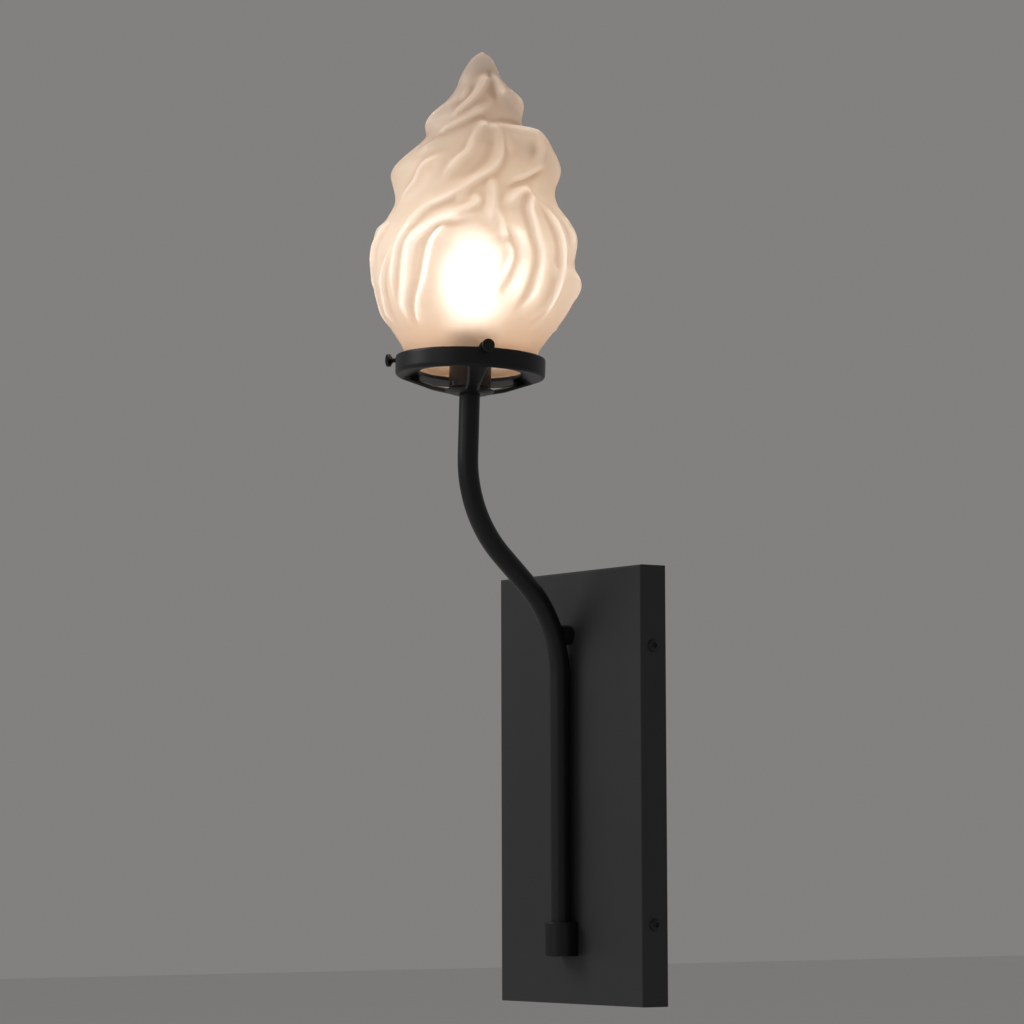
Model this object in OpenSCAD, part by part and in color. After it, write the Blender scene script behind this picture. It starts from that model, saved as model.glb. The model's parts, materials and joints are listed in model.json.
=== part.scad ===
// Torch sconce: a swan-neck arm on a wall cover carries a shade gallery, a small opal lamp
// and a moulded glass flame. The wall is the plane y = 0, the front faces -Y and +Z is up.
// The origin is the middle of the wall plate, on the wall.

/* [Wall plate] */
// Width of the cover box
plate_w = 148; // [136:1:180]
// Height of the cover box
plate_h = 266; // [250:1:320]
// Depth of the cover box from the wall
plate_d = 19; // [18:0.5:26]
// Sheet thickness of the cover box
plate_t = 2; // [1.5:0.1:2.5]
// Radius along the cover's front edges
plate_edge_r = 1.2; // [0.6:0.1:1.5]
// Thickness of the bracket on the wall
bracket_t = 2; // [1.5:0.1:2.5]
// Height of the bracket
bracket_h = 224; // [210:1:236]
// Gap between the bracket's ears and the cover
bracket_gap = 0.5; // [0.3:0.1:1]
// Height of the side screws above and below the middle
side_screw_z = 84; // [70:1:90]

/* [Wall fixings] */
// Distance between the wall slots, across
fixing_x = 60.3; // [50:0.1:80]
// Distance between the wall slots, up and down
fixing_z = 180; // [160:1:184]
// Width of a wall slot
slot_w = 5.5; // [4.5:0.1:6.5]
// Length of a wall slot, end to end
slot_len = 14; // [10:0.5:18]
// Diameter of the cable hole in the bracket
entry_d = 22; // [18:1:26]
// Diameter of the hole through the cable grommet
grommet_bore = 9; // [7:0.5:12]

/* [Arm] */
// Outside diameter of the arm tube
arm_d = 12.7; // [12:0.1:14]
// Bore of the arm tube
arm_bore = 9; // [8.6:0.1:9.4]
// Clear gap between the tube and the cover's face
arm_gap = 0.6; // [0.3:0.1:3]
// Radius of both bends, at the tube's middle
bend_r = 77; // [60:1:95]
// Angle of the slanting length from upright
bend_angle = 47.4; // [35:0.1:55]
// Height where the lower bend starts
bend_z = 67.6; // [55:0.1:80]
// Length of the straight between the bends
mid_len = 25.4; // [10:0.1:40]
// Length of the straight above the upper bend
top_len = 38.1; // [30:0.1:60]
// Lean of the head back towards the wall
lean = 2; // [0:0.1:4]
// Height of the standoff above the middle
standoff_z = 94; // [88:1:100]
// Diameter of the standoff
standoff_d = 12.2; // [10:0.1:13]
// Length of the standoff in front of the cover
standoff_len = 7.5; // [6:0.1:8.5]

/* [End block] */
// Diameter of the end block
block_d = 21; // [19:0.5:24]
// Height of the end block
block_h = 21; // [20:0.5:26]
// Height of the end block's foot above the middle
block_z = -103.8; // [-106:0.1:-98]
// Depth of the socket that takes the tube
socket_depth = 8; // [6:0.5:9]

/* [Gallery] */
// Outside diameter of the gallery ring
ring_d = 92; // [90:0.5:98]
// Height of the gallery ring
ring_h = 12.2; // [11:0.1:15]
// Wall of the gallery ring
ring_t = 2; // [1.6:0.1:2.4]
// Inside diameter of the floor that the shade stands on
floor_bore = 62; // [58:0.5:66]
// Thickness of the floor
floor_t = 1.8; // [1.6:0.1:2.4]
// Height of the floor's underside above the ring's foot
floor_z = 2.8; // [2.7:0.1:3.4]
// Diameter of the hub
hub_d = 22; // [18:0.5:23]
// Thickness of the hub
hub_t = 3; // [2.5:0.1:4]
// Drop from the ring's foot to the hub's foot
hub_drop = 10.6; // [8:0.1:12]
// Width of a spider arm
spider_w = 9.3; // [6:0.1:10]
// Thickness of a spider arm
spider_t = 3; // [2.4:0.1:3.6]
// Direction of the first spider arm, from the front
spider_turn = 62; // [0:1:119]
// Direction of the first thumbscrew, from the front
screw_turn = 67; // [0:1:119]

/* [Thumbscrews] */
// Height of the thumbscrews above the ring's foot
screw_z = 11.9; // [9.5:0.1:12.2]
// Diameter of the thumbscrew thread
screw_d = 3; // [2.5:0.5:3.5]
// Diameter of the thumbscrew head
knob_d = 7.8; // [7:0.1:9]
// Thickness of the thumbscrew head
knob_t = 2.2; // [1.6:0.1:3]
// Distance from the ring to the outside of the head
knob_reach = 8.6; // [8:0.1:12]

/* [Lampholder] */
// Diameter of the lampholder
holder_d = 25.8; // [25:0.1:28]
// Height of the lampholder
holder_h = 40; // [36:0.5:46]
// Height of the lampholder's cap
holder_cap_h = 14; // [13:0.5:16]
// Wall of the lampholder's skirt
holder_t = 1.4; // [1:0.1:1.6]

/* [Lamp] */
// Diameter of the opal ball lamp
lamp_d = 45; // [40:1:48]
// Overall length of the lamp
lamp_len = 78; // [74:1:88]
// Wall of the lamp's glass
lamp_t = 0.8; // [0.6:0.1:1.2]

/* [Glass flame] */
// Diameter of the shade's neck
neck_d = 82.5; // [80.5:0.5:83.5]
// Wall of the neck and of the shade between its tongues
glass_t = 2.9; // [2.4:0.1:3.4]
// Height of the shade above the ring's foot
flame_h = 203.7; // [180:0.5:220]
// Radius of the shade at its widest, under the tongues
flame_r = 60; // [56:0.5:66]
// Height of the glass tongues, as a share of the drawn ones
tongue_relief = 1; // [0.7:0.05:1.2]
// Direction in which the shade's front is turned
flame_turn = 55; // [0:5:355]

/* [Wiring] */
// Diameter of one insulated wire
wire_d = 2.4; // [1.8:0.1:2.6]
// Distance between the two wires in the arm
wire_pitch = 3; // [2.8:0.1:3.2]

/* [Hidden] */
$fn = 64;
eps = 0.01;
// Room left between a screw or nipple and its hole
thread_gap = 0.05;
hole_gap = 0.2;
// Gap between pieces on different moving bodies
body_gap = 0.3;

// Colours, as the photograph shows them
c_plate = [0.16, 0.16, 0.16];
c_black = [0.06, 0.06, 0.06];
c_zinc = [0.62, 0.63, 0.65];
c_brass = [0.78, 0.62, 0.32];
c_bakelite = [0.13, 0.09, 0.07];
c_ceramic = [0.9, 0.89, 0.86];
c_glass = [1, 0.93, 0.84, 0.6];
c_opal = [1, 0.97, 0.92];

// Plate and bracket
face_y = -plate_d;
inner_face_y = -plate_d + plate_t;
screw_y = -plate_d / 2;
ear_w = 16;
ear_x = plate_w / 2 - plate_t - bracket_gap;
bracket_front_y = -bracket_t;
m4_r = 2;
m4_head_r = 3.8;
m4_head_h = 2.2;
m4_socket_r = 1.45;
m3_r = 1.5;
ear_gap = 1;
grommet_lip = 1.5;

// Arm path: the lower axis, then two bends and the head's foot
axis_y = face_y - arm_gap - arm_d / 2;
arm_foot_z = block_z + block_h - socket_depth;
low_y = axis_y - bend_r * (1 - cos(bend_angle));
low_z = bend_z + bend_r * sin(bend_angle);
mid_y = low_y - mid_len * sin(bend_angle);
mid_z = low_z + mid_len * cos(bend_angle);
high_y = mid_y - bend_r * (cos(lean) - cos(bend_angle));
high_z = mid_z + bend_r * (sin(bend_angle) + sin(lean));
foot_y = high_y + top_len * sin(lean);
foot_z = high_z + top_len * cos(lean);

// Hollow nipples of 10 mm fine thread
nipple_r = 5;
nipple_bore_r = 3.7;
nipple_nut_r = 8;
nut_t = 3;
washer_t = 0.8;
entry_z = block_z + 7.3;
entry_in_y = inner_face_y + washer_t + nut_t + 1;
entry_washer_r = 8.5;
nipple_end_gap = 0.2;
block_floor = 4.4;
standoff_grip = 4;
standoff_washer_r = 5;
hub_engage = 10;
cap_engage = 6;

// Terminal block inside the cover
block_w = 30;
term_h = 20;
term_d = 11.5;
term_z = -42;
term_pitch = 10;
term_y = bracket_front_y - term_d / 2;
sleeve_r = 2.6;
sleeve_inset = 1.5;
term_bore_r = 1.6;
clamp_r = 1.25;
clamp_hole_r = 1.8;
clamp_z = 5;
clamp_inset = 0.8;
clamp_len = 3.4;
slot_t = 0.6;
fixing_head_r = 2.2;
fixing_head_h = 1.4;
earth_x = 32;
earth_z = -64;
earth_head_r = 3.6;
earth_head_h = 2.4;
tag_t = 0.8;
tag_r = 4;
tag_len = 14;
crimp_len = 6.5;
earth_wire_y = -bracket_t - tag_t - wire_d / 2;

// Gallery, in the head's frame: z = 0 is the ring's foot
ring_r = ring_d / 2;
ring_in_r = ring_r - ring_t;
foot_round = 2.2;
hub_top = -hub_drop + hub_t;
seat_z = floor_z + floor_t;
spider_in = hub_d / 2 - 2;
spider_out = ring_in_r - 0.2;
spider_flare = 2;
bend_share = 0.47;
drop_share = 0.35;
spider_dirs = [spider_turn, spider_turn - 120, spider_turn + 120];
rim_r = 0.5;
lug_r = 4;
screw_dirs = [screw_turn, screw_turn - 120, screw_turn + 120];
tip_len = 1.2;
tip_end = neck_d / 2 + body_gap;
shank_end = tip_end + tip_len;
knob_out = ring_r + knob_reach;
knob_back = 1.7;
knob_step = 0.6;

// Lampholder and lamp, in the head's frame
holder_z = hub_top;
holder_r = holder_d / 2;
cap_top = holder_z + holder_cap_h;
cavity_z = holder_z + cap_engage;
cavity_r = holder_r - 3.4;
insert_z = cavity_z + 3.5;
insert_top = cap_top + 1;
pocket_z = insert_z + 3;
post_r = 1.2;
post_x = cavity_r - post_r - thread_gap;
post_foot = cavity_z + 0.7;
post_top = pocket_z - 0.5;
skirt_top = holder_z + holder_h;
thread_r = 7.08;
thread_t = 0.6;
thread_top = pocket_z + 15.5;
lamp_z = pocket_z + 1.5;
lamp_top = lamp_z + lamp_len;
lamp_ball_z = lamp_top - lamp_d / 2;
lamp_collar_z = lamp_z + 15;
lamp_seat_z = lamp_collar_z + 2.4;
lamp_neck_z = lamp_z + 19;
lamp_neck_r = 8;
stem_r = 1.6;

// The glass flame. Its bare form as [share of the height from neck to tip, share of flame_r]
neck_h = 7.6;
flame_foot = seat_z + neck_h;
FORM = [[0, neck_d / 2 / flame_r], [0.025, 0.695], [0.077, 0.793], [0.13, 0.894],
    [0.197, 0.956], [0.26, 0.985], [0.328, 1], [0.396, 0.955], [0.448, 0.88], [0.495, 0.795],
    [0.547, 0.75], [0.6, 0.735], [0.641, 0.675], [0.683, 0.575], [0.72, 0.475], [0.756, 0.41],
    [0.798, 0.37], [0.835, 0.295], [0.876, 0.225], [0.918, 0.195], [0.955, 0.148],
    [0.981, 0.095], [1, 0.004]];
// Tongues of the glass: height, steep width, soft width, steep side (1 right, -1 left of the
// way up), length of the fade at root and tip, and the crest as [degrees, mm up] from the
// shade's front
TONGUES = [
    [4, 3, 7, 1, 14, 6, [[-62, 140], [-38, 157], [-17, 166], [5, 179], [30, 187]]],
    [3, 2.5, 5, 1, 14, 6, [[-40, 150], [-20, 158], [4, 165], [45, 176]]],
    [3, 3, 6, 1, 14, 8, [[-95, 148], [-62, 165], [-25, 180]]],
    [6.5, 3, 12, 1, 30, 5, [[-62, 60], [-48, 84], [-26, 103], [-4, 113], [17, 127], [21, 146], [15, 154]]],
    [3, 4, 4, 1, 14, 5, [[-30, 112], [-11, 124], [6, 145], [14, 153]]],
    [3.5, 3, 7, 1, 16, 5, [[-66, 90], [-52, 110], [-25, 129]]],
    [5, 2.5, 9, 1, 22, 5, [[-50, 34], [-42, 60], [-29, 82], [0, 100]]],
    [4, 2.5, 8, -1, 18, 5, [[-37, 30], [-25, 70], [-10, 88], [2, 92]]],
    [4.5, 2.5, 7, -1, 18, 10, [[19, 40], [29, 64], [26, 77], [12, 100], [10, 119]]],
    [5.5, 2.5, 7, -1, 18, 4, [[32, 33], [45, 68], [41, 96], [47, 106], [33, 108]]],
    [5, 2.5, 7, -1, 18, 6, [[56, 24], [69, 64], [68, 94], [62, 104]]],
    [3, 2.5, 5, -1, 14, 6, [[42, 31], [60, 48], [56, 68]]],
    [4, 3, 8, 1, 16, 8, [[20, 108], [44, 120], [80, 134]]],
    [3.5, 3, 6, -1, 12, 5, [[48, 124], [78, 140], [80, 149]]]];
// Swellings of the glass: degrees and mm up of the crown, height, width, reach up and down
SWELLS = [[-85, 68, 2, 40, 17, 29], [-88, 90, 3, 22, 3.5, 11], [-88, 125, 7.7, 22, 15, 14],
    [-85, 157, 5.2, 16, 10.5, 7], [88, 60.5, 7, 30, 7, 22], [88, 91, 6.3, 24, 20, 15.5],
    [85, 135.5, 8.6, 20, 15.5, 17], [62, 151, 12, 14, 3, 12], [85, 175.5, 9, 12, 9.3, 10],
    [0, 60, 4, 40, 30, 25], [180, 60, 4, 40, 30, 25]];
// Heights of foot and tip at which the tongues above are drawn
drawn_foot = 12.2;
drawn_h = 203.7;
draw_scale = (flame_h - flame_foot) / (drawn_h - drawn_foot);
flame_cols = 64;
flame_rows = 50;
bore_rows = 14;
tip_shift = 2;
tip_r = 0.8;

// ---------------------------------------------------------------- helpers

module at_head() {
    translate([0, foot_y, foot_z]) rotate([-lean, 0, 0]) translate([0, 0, hub_drop]) children();
}

// Puts +Z of its child along the outward direction of a thumbscrew, at the thumbscrews' height
module at_screw(dir) {
    at_head() translate([0, 0, screw_z]) rotate([0, 0, dir]) rotate([90, 0, 0]) children();
}

// A cylinder along +Y from y0 to y1
module bar_y(r, y0, y1, x = 0, z = 0) {
    translate([x, y1, z]) rotate([90, 0, 0]) cylinder(r = r, h = y1 - y0);
}

// A cylinder along X, from the inside out, on the side that sgn gives
module bar_x(r, x0, x1, sgn, y, z) {
    translate([sgn * x0, y, z]) rotate([0, sgn * 90, 0]) cylinder(r = r, h = x1 - x0);
}

// Hexagonal prism along +Z
module hex(r, h) {
    cylinder(r = r, h = h, $fn = 6);
}

// The arm's outer or inner solid. The bends are a hair fatter than the straight lengths,
// which run into them, so that no two skins lie in one another.
module arm_solid(r, foot, head) {
    lap = 1.2;
    skin = 0.06;
    translate([0, axis_y, foot]) cylinder(r = r, h = bend_z - foot + lap);
    translate([0, axis_y - bend_r, bend_z]) rotate([90, 0, 90])
        rotate_extrude(angle = bend_angle) translate([bend_r, 0]) circle(r = r + skin);
    translate([0, low_y, low_z]) rotate([bend_angle, 0, 0])
        translate([0, 0, -lap]) cylinder(r = r, h = mid_len + 2 * lap);
    translate([0, mid_y + bend_r * cos(bend_angle), mid_z + bend_r * sin(bend_angle)])
        rotate([90, 0, 90]) rotate([0, 0, 180 - lean])
            rotate_extrude(angle = bend_angle + lean) translate([bend_r, 0]) circle(r = r + skin);
    translate([0, high_y, high_z]) rotate([-lean, 0, 0])
        translate([0, 0, -lap]) cylinder(r = r, h = top_len + lap + head);
}

// Points of the arm's path at a sideways shift x, from its foot upwards
function arc_pts(cy, cz, a0, a1, n, x) =
    [for (i = [0 : n]) let (a = a0 + (a1 - a0) * i / n) [x, cy + bend_r * cos(a), cz + bend_r * sin(a)]];
function arm_pts(x) = concat(
    arc_pts(axis_y - bend_r, bend_z, 0, bend_angle, 7, x),
    arc_pts(mid_y + bend_r * cos(bend_angle), mid_z + bend_r * sin(bend_angle),
        180 + bend_angle, 180 - lean, 7, x));

// A round wire swept along points, with closed ends
function unit(v) = v / norm(v);
module wire(pts, r, sides = 8) {
    n = len(pts);
    dirs = [for (i = [0 : n - 1]) unit(pts[min(i + 1, n - 1)] - pts[max(i - 1, 0)])];
    ups = [for (d = dirs) abs(d[0]) > 0.9 ? [0, 0, 1] : [1, 0, 0]];
    rings = [for (i = [0 : n - 1])
        let (u = unit(cross(dirs[i], ups[i])), v = cross(dirs[i], u))
            for (k = [0 : sides - 1])
                pts[i] + r * (cos(k * 360 / sides) * u + sin(k * 360 / sides) * v)];
    quads = [for (i = [0 : n - 2], k = [0 : sides - 1])
        let (a = i * sides + k, b = i * sides + (k + 1) % sides)
            [[a, b, b + sides], [a, b + sides, a + sides]]];
    polyhedron(points = rings, faces = concat(
        [for (q = quads) q[0]], [for (q = quads) q[1]],
        [[for (k = [sides - 1 : -1 : 0]) k]],
        [[for (k = [0 : sides - 1]) (n - 1) * sides + k]]));
}

// A machine screw along +Z with its head's seat at z = 0 and a six-sided socket
module socket_screw(r, len, head_r, head_h, socket_r) {
    difference() {
        union() {
            translate([0, 0, -len]) cylinder(r = r - thread_gap, h = len + eps);
            rotate_extrude() intersection() {
                translate([0, head_h - head_r * 2.2]) circle(r = head_r * 2.2);
                square([head_r, head_h]);
            }
        }
        translate([0, 0, head_h * 0.35]) hex(socket_r, head_h);
    }
}

// ---------------------------------------------------------------- wall plate

module rounded_front(across, deep, r) {
    // a rectangle in X and Y with its two front corners rounded
    translate([-across / 2, -deep + r]) square([across, deep - r]);
    translate([-across / 2 + r, -deep]) square([across - 2 * r, deep]);
    for (s = [-1, 1]) translate([s * (across / 2 - r), -deep + r]) circle(r = r);
}

module cover_box() {
    color(c_plate) difference() {
        intersection() {
            translate([0, 0, -plate_h / 2]) linear_extrude(plate_h)
                rounded_front(plate_w, plate_d, plate_edge_r);
            rotate([0, 90, 0]) translate([0, 0, -plate_w / 2]) linear_extrude(plate_w)
                rounded_front(plate_h, plate_d, plate_edge_r);
        }
        translate([-plate_w / 2 + plate_t, inner_face_y, -plate_h / 2 + plate_t])
            cube([plate_w - 2 * plate_t, plate_d, plate_h - 2 * plate_t]);
        for (s = [-1, 1], z = [-side_screw_z, side_screw_z])
            bar_x(m4_r + hole_gap, plate_w / 2 - plate_t - 1, plate_w / 2 + 1, s, screw_y, z);
        bar_y(nipple_r + hole_gap, face_y - 1, inner_face_y + 1, 0, entry_z);
        bar_y(m4_r + hole_gap, face_y - 1, inner_face_y + 1, 0, standoff_z);
    }
}

module wall_slot(x, z) {
    for (s = [-1, 1]) bar_y(slot_w / 2, -bracket_t - 1, 1, x + s * (slot_len - slot_w) / 2, z);
    translate([x - (slot_len - slot_w) / 2, -bracket_t - 1, z - slot_w / 2])
        cube([slot_len - slot_w, bracket_t + 2, slot_w]);
}

module wall_bracket() {
    ear_d = plate_d - plate_t - ear_gap;
    color(c_zinc) difference() {
        union() {
            translate([-ear_x, -bracket_t, -bracket_h / 2]) cube([2 * ear_x, bracket_t, bracket_h]);
            for (s = [-1, 1], z = [-side_screw_z, side_screw_z])
                translate([s * (ear_x - bracket_t / 2) - bracket_t / 2, -ear_d, z - ear_w / 2])
                    cube([bracket_t, ear_d, ear_w]);
        }
        for (x = [-1, 1], z = [-1, 1]) wall_slot(x * fixing_x / 2, z * fixing_z / 2);
        bar_y(entry_d / 2, -bracket_t - 1, 1);
        bar_y(m3_r, -bracket_t - 1, 1, term_pitch / 2, term_z);
        bar_y(m4_r, -bracket_t - 1, 1, earth_x, earth_z);
        for (s = [-1, 1], z = [-side_screw_z, side_screw_z])
            bar_x(m4_r, ear_x - bracket_t - 1, ear_x + 1, s, screw_y, z);
    }
}

module side_screws() {
    len = plate_t + bracket_gap + bracket_t + 1;
    color(c_black) for (s = [-1, 1], z = [-side_screw_z, side_screw_z])
        translate([s * plate_w / 2, screw_y, z]) rotate([0, s * 90, 0])
            socket_screw(m4_r, len, m4_head_r, m4_head_h, m4_socket_r);
}

module cable_grommet() {
    color(c_black) difference() {
        union() {
            bar_y(entry_d / 2 - thread_gap, -bracket_t, 0);
            bar_y(entry_d / 2 + grommet_lip, -bracket_t - grommet_lip, -bracket_t);
        }
        bar_y(grommet_bore / 2, -bracket_t - grommet_lip - 1, 1);
    }
}

// ---------------------------------------------------------------- terminals and earth

// The slot in a screw's head, its top at z = 0
module driver_slot(head_r, width, depth) {
    translate([-head_r - 1, -width / 2, -depth]) cube([2 * head_r + 2, width, depth + 1]);
}

module pole_places() {
    for (i = [-1 : 1]) translate([i * term_pitch, term_y, term_z]) children();
}

module terminal_block() {
    color(c_ceramic) difference() {
        translate([-block_w / 2, bracket_front_y - term_d, term_z - term_h / 2])
            cube([block_w, term_d, term_h]);
        pole_places() translate([0, 0, -term_h]) cylinder(r = sleeve_r + thread_gap, h = 2 * term_h);
        pole_places() for (s = [-1, 1]) bar_y(clamp_hole_r, -term_d, 0, 0, s * clamp_z);
        bar_y(m3_r + hole_gap / 2, -plate_d, 0, term_pitch / 2, term_z);
    }
}

module terminal_sleeves() {
    color(c_brass) pole_places() difference() {
        translate([0, 0, sleeve_inset - term_h / 2]) cylinder(r = sleeve_r, h = term_h - 2 * sleeve_inset);
        translate([0, 0, -term_h]) cylinder(r = term_bore_r, h = 2 * term_h);
        for (s = [-1, 1]) bar_y(clamp_r + thread_gap, -term_d, 0, 0, s * clamp_z);
    }
}

module terminal_screws() {
    color(c_zinc) pole_places() for (s = [-1, 1]) translate([0, clamp_inset - term_d / 2, s * clamp_z])
        rotate([90, 0, 0]) difference() {
            translate([0, 0, -clamp_len]) cylinder(r = clamp_r, h = clamp_len);
            driver_slot(clamp_r, slot_t, slot_t);
        }
}

module terminal_fixing_screw() {
    top = -bracket_t - term_d;
    color(c_zinc) translate([term_pitch / 2, top, term_z]) rotate([90, 0, 0]) difference() {
        union() {
            translate([0, 0, -term_d - bracket_t]) cylinder(r = m3_r - thread_gap, h = term_d + bracket_t);
            cylinder(r = fixing_head_r, h = fixing_head_h);
        }
        translate([0, 0, fixing_head_h]) driver_slot(fixing_head_r, slot_t, fixing_head_h / 2);
    }
}

module earth_screw() {
    color(c_brass) translate([earth_x, -bracket_t - tag_t, earth_z]) rotate([90, 0, 0]) difference() {
        union() {
            translate([0, 0, -bracket_t - tag_t]) cylinder(r = m4_r - thread_gap, h = bracket_t + tag_t);
            cylinder(r = earth_head_r, h = earth_head_h);
        }
        translate([0, 0, earth_head_h]) driver_slot(earth_head_r, slot_t, earth_head_h / 2);
    }
}

module earth_tag() {
    color(c_brass) {
        difference() {
            union() {
                bar_y(tag_r, -bracket_t - tag_t, -bracket_t, earth_x, earth_z);
                translate([earth_x - 2 * tag_r, -bracket_t - tag_t, earth_z - wire_d * 0.75])
                    cube([2 * tag_r, tag_t, wire_d * 1.5]);
            }
            bar_y(m4_r + hole_gap / 2, -bracket_t - 2, 0, earth_x, earth_z);
        }
        translate([earth_x - tag_len, earth_wire_y, earth_z]) rotate([0, 90, 0]) difference() {
            cylinder(r = wire_d / 2 + tag_t, h = crimp_len);
            translate([0, 0, -1]) cylinder(r = wire_d / 2, h = crimp_len + 2);
        }
    }
}

module earth_wire() {
    y = earth_wire_y;
    color("yellowgreen") wire([[earth_x - 8, y, earth_z], [earth_x - 16, y, earth_z],
        [earth_x - 22, y, earth_z], [6, y, earth_z], [2, y, earth_z + 2],
        [0, term_y, term_z - term_h / 2 - 2], [0, term_y, term_z - term_h / 2 + 4]],
        wire_d / 2 - hole_gap / 2);
}

// ---------------------------------------------------------------- arm

module arm_tube() {
    color(c_black) difference() {
        arm_solid(arm_d / 2, arm_foot_z, 0);
        arm_solid(arm_bore / 2, arm_foot_z - 1, 1);
        at_head() translate([0, 0, -hub_drop - hub_engage - 1]) cylinder(r = nipple_r, h = hub_engage + 3);
    }
}

module end_block() {
    round = 0.8;
    color(c_black) difference() {
        translate([0, axis_y, block_z]) rotate_extrude() {
            translate([0, round]) square([block_d / 2, block_h - 2 * round]);
            square([block_d / 2 - round, block_h]);
            for (z = [round, block_h - round]) translate([block_d / 2 - round, z]) circle(r = round);
        }
        translate([-block_d, face_y, block_z - 1]) cube([2 * block_d, block_d, block_h + 2]);
        translate([0, axis_y, arm_foot_z]) cylinder(r = arm_d / 2 + thread_gap, h = block_h);
        translate([0, axis_y, entry_z - block_floor]) cylinder(r = arm_bore / 2, h = block_h - block_floor);
        bar_y(nipple_r, axis_y, face_y + 1, 0, entry_z);
    }
}

module entry_nipple() {
    color(c_brass) difference() {
        bar_y(nipple_r - thread_gap, axis_y + arm_bore / 2 + nipple_end_gap, entry_in_y, 0, entry_z);
        bar_y(nipple_bore_r, axis_y, entry_in_y + 1, 0, entry_z);
    }
}

module entry_washer() {
    color(c_zinc) difference() {
        bar_y(entry_washer_r, inner_face_y, inner_face_y + washer_t, 0, entry_z);
        bar_y(nipple_r + thread_gap, inner_face_y - 1, inner_face_y + washer_t + 1, 0, entry_z);
    }
}

module entry_nut() {
    y0 = inner_face_y + washer_t;
    color(c_brass) difference() {
        translate([0, y0 + nut_t, entry_z]) rotate([90, 0, 0]) hex(nipple_nut_r, nut_t);
        bar_y(nipple_r + thread_gap, y0 - 1, y0 + nut_t + 1, 0, entry_z);
    }
}

module standoff() {
    color(c_black) difference() {
        bar_y(standoff_d / 2, face_y - standoff_len, face_y, 0, standoff_z);
        arm_solid(arm_d / 2 + thread_gap, arm_foot_z, 0);
        bar_y(m4_r, face_y - standoff_grip - hole_gap, face_y + 1, 0, standoff_z);
    }
}

module standoff_screw() {
    head_y = inner_face_y + washer_t;
    color(c_zinc) translate([0, head_y, standoff_z]) rotate([-90, 0, 0])
        socket_screw(m4_r, plate_t + washer_t + standoff_grip, m4_head_r, m4_head_h, m4_socket_r);
}

module standoff_washer() {
    color(c_zinc) difference() {
        bar_y(standoff_washer_r, inner_face_y, inner_face_y + washer_t, 0, standoff_z);
        bar_y(m4_r + hole_gap / 2, inner_face_y - 1, inner_face_y + washer_t + 1, 0, standoff_z);
    }
}

// The two wires: terminal, entry nipple, arm, hub nipple, holder terminal
function corner(cy, cz, r, a0, a1, n, x) =
    [for (i = [0 : n]) let (a = a0 + (a1 - a0) * i / n) [x, cy + r * cos(a), cz + r * sin(a)]];
function head_pt(x, y, z) =
    let (h = hub_drop + z)
        [x, foot_y + y * cos(lean) + h * sin(lean), foot_z - y * sin(lean) + h * cos(lean)];
function wire_pts(s) =
    let (x = s * wire_pitch / 2, r = 5, r2 = 3.6, py = term_y, over = cavity_z + wire_d / 2 + 0.6,
        to_post = post_x - post_r - thread_gap)
        concat(
            [[s * term_pitch, py, term_z - term_h / 2 + 4], [s * term_pitch, py, term_z - term_h / 2 - 4],
             [s * term_pitch * 0.8, py, term_z - term_h / 2 - 14],
             [x * 1.6, py, entry_z + 16], [x, py, entry_z + 10]],
            corner(py - r2, entry_z + r2, r2, 0, -90, 3, x),
            corner(axis_y + r, entry_z + r, r, -90, -180, 3, x),
            [[x, axis_y, 0]],
            arm_pts(x),
            [head_pt(x, 0, -hub_drop), head_pt(x, 0, cavity_z - 2), head_pt(x, 0, cavity_z - 0.5),
             head_pt(x + s * 0.5, 0, over - 1), head_pt(x + s * 1.7, 0, over - 0.2),
             head_pt(x + s * 3.1, 0, over), head_pt(s * to_post, 0, over)]);

module live_wire() {
    color("saddlebrown") wire(wire_pts(-1), wire_d / 2);
}

module neutral_wire() {
    color("royalblue") wire(wire_pts(1), wire_d / 2);
}

// ---------------------------------------------------------------- gallery

module ring_profile() {
    translate([floor_bore / 2, floor_z]) square([ring_in_r - floor_bore / 2 + eps, floor_t]);
    translate([ring_in_r, foot_round]) square([ring_t, ring_h - foot_round - rim_r]);
    translate([ring_in_r + rim_r, foot_round]) square([ring_t - 2 * rim_r, ring_h - foot_round]);
    for (r = [ring_in_r + rim_r, ring_r - rim_r]) translate([r, ring_h - rim_r]) circle(r = rim_r);
    translate([ring_r - foot_round, foot_round]) circle(r = foot_round);
}

// One spider arm along -Y, from the hub to the ring's foot, as a shallow bowl's rib
module spider_arm() {
    half = spider_w / 2 - spider_t / 2;
    z_in = -hub_drop + spider_t / 2;
    z_out = foot_round - spider_t / 4;
    r_mid = (spider_in + spider_out) * bend_share;
    z_mid = z_in + (z_out - z_in) * drop_share;
    hull() for (s = [-1, 1]) {
        translate([s * half, -spider_in, z_in]) sphere(d = spider_t, $fn = 20);
        translate([s * half, -r_mid, z_mid]) sphere(d = spider_t, $fn = 20);
    }
    hull() for (s = [-1, 1]) {
        translate([s * half, -r_mid, z_mid]) sphere(d = spider_t, $fn = 20);
        translate([s * (half + spider_flare), -spider_out, z_out]) sphere(d = spider_t, $fn = 20);
    }
}

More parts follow.
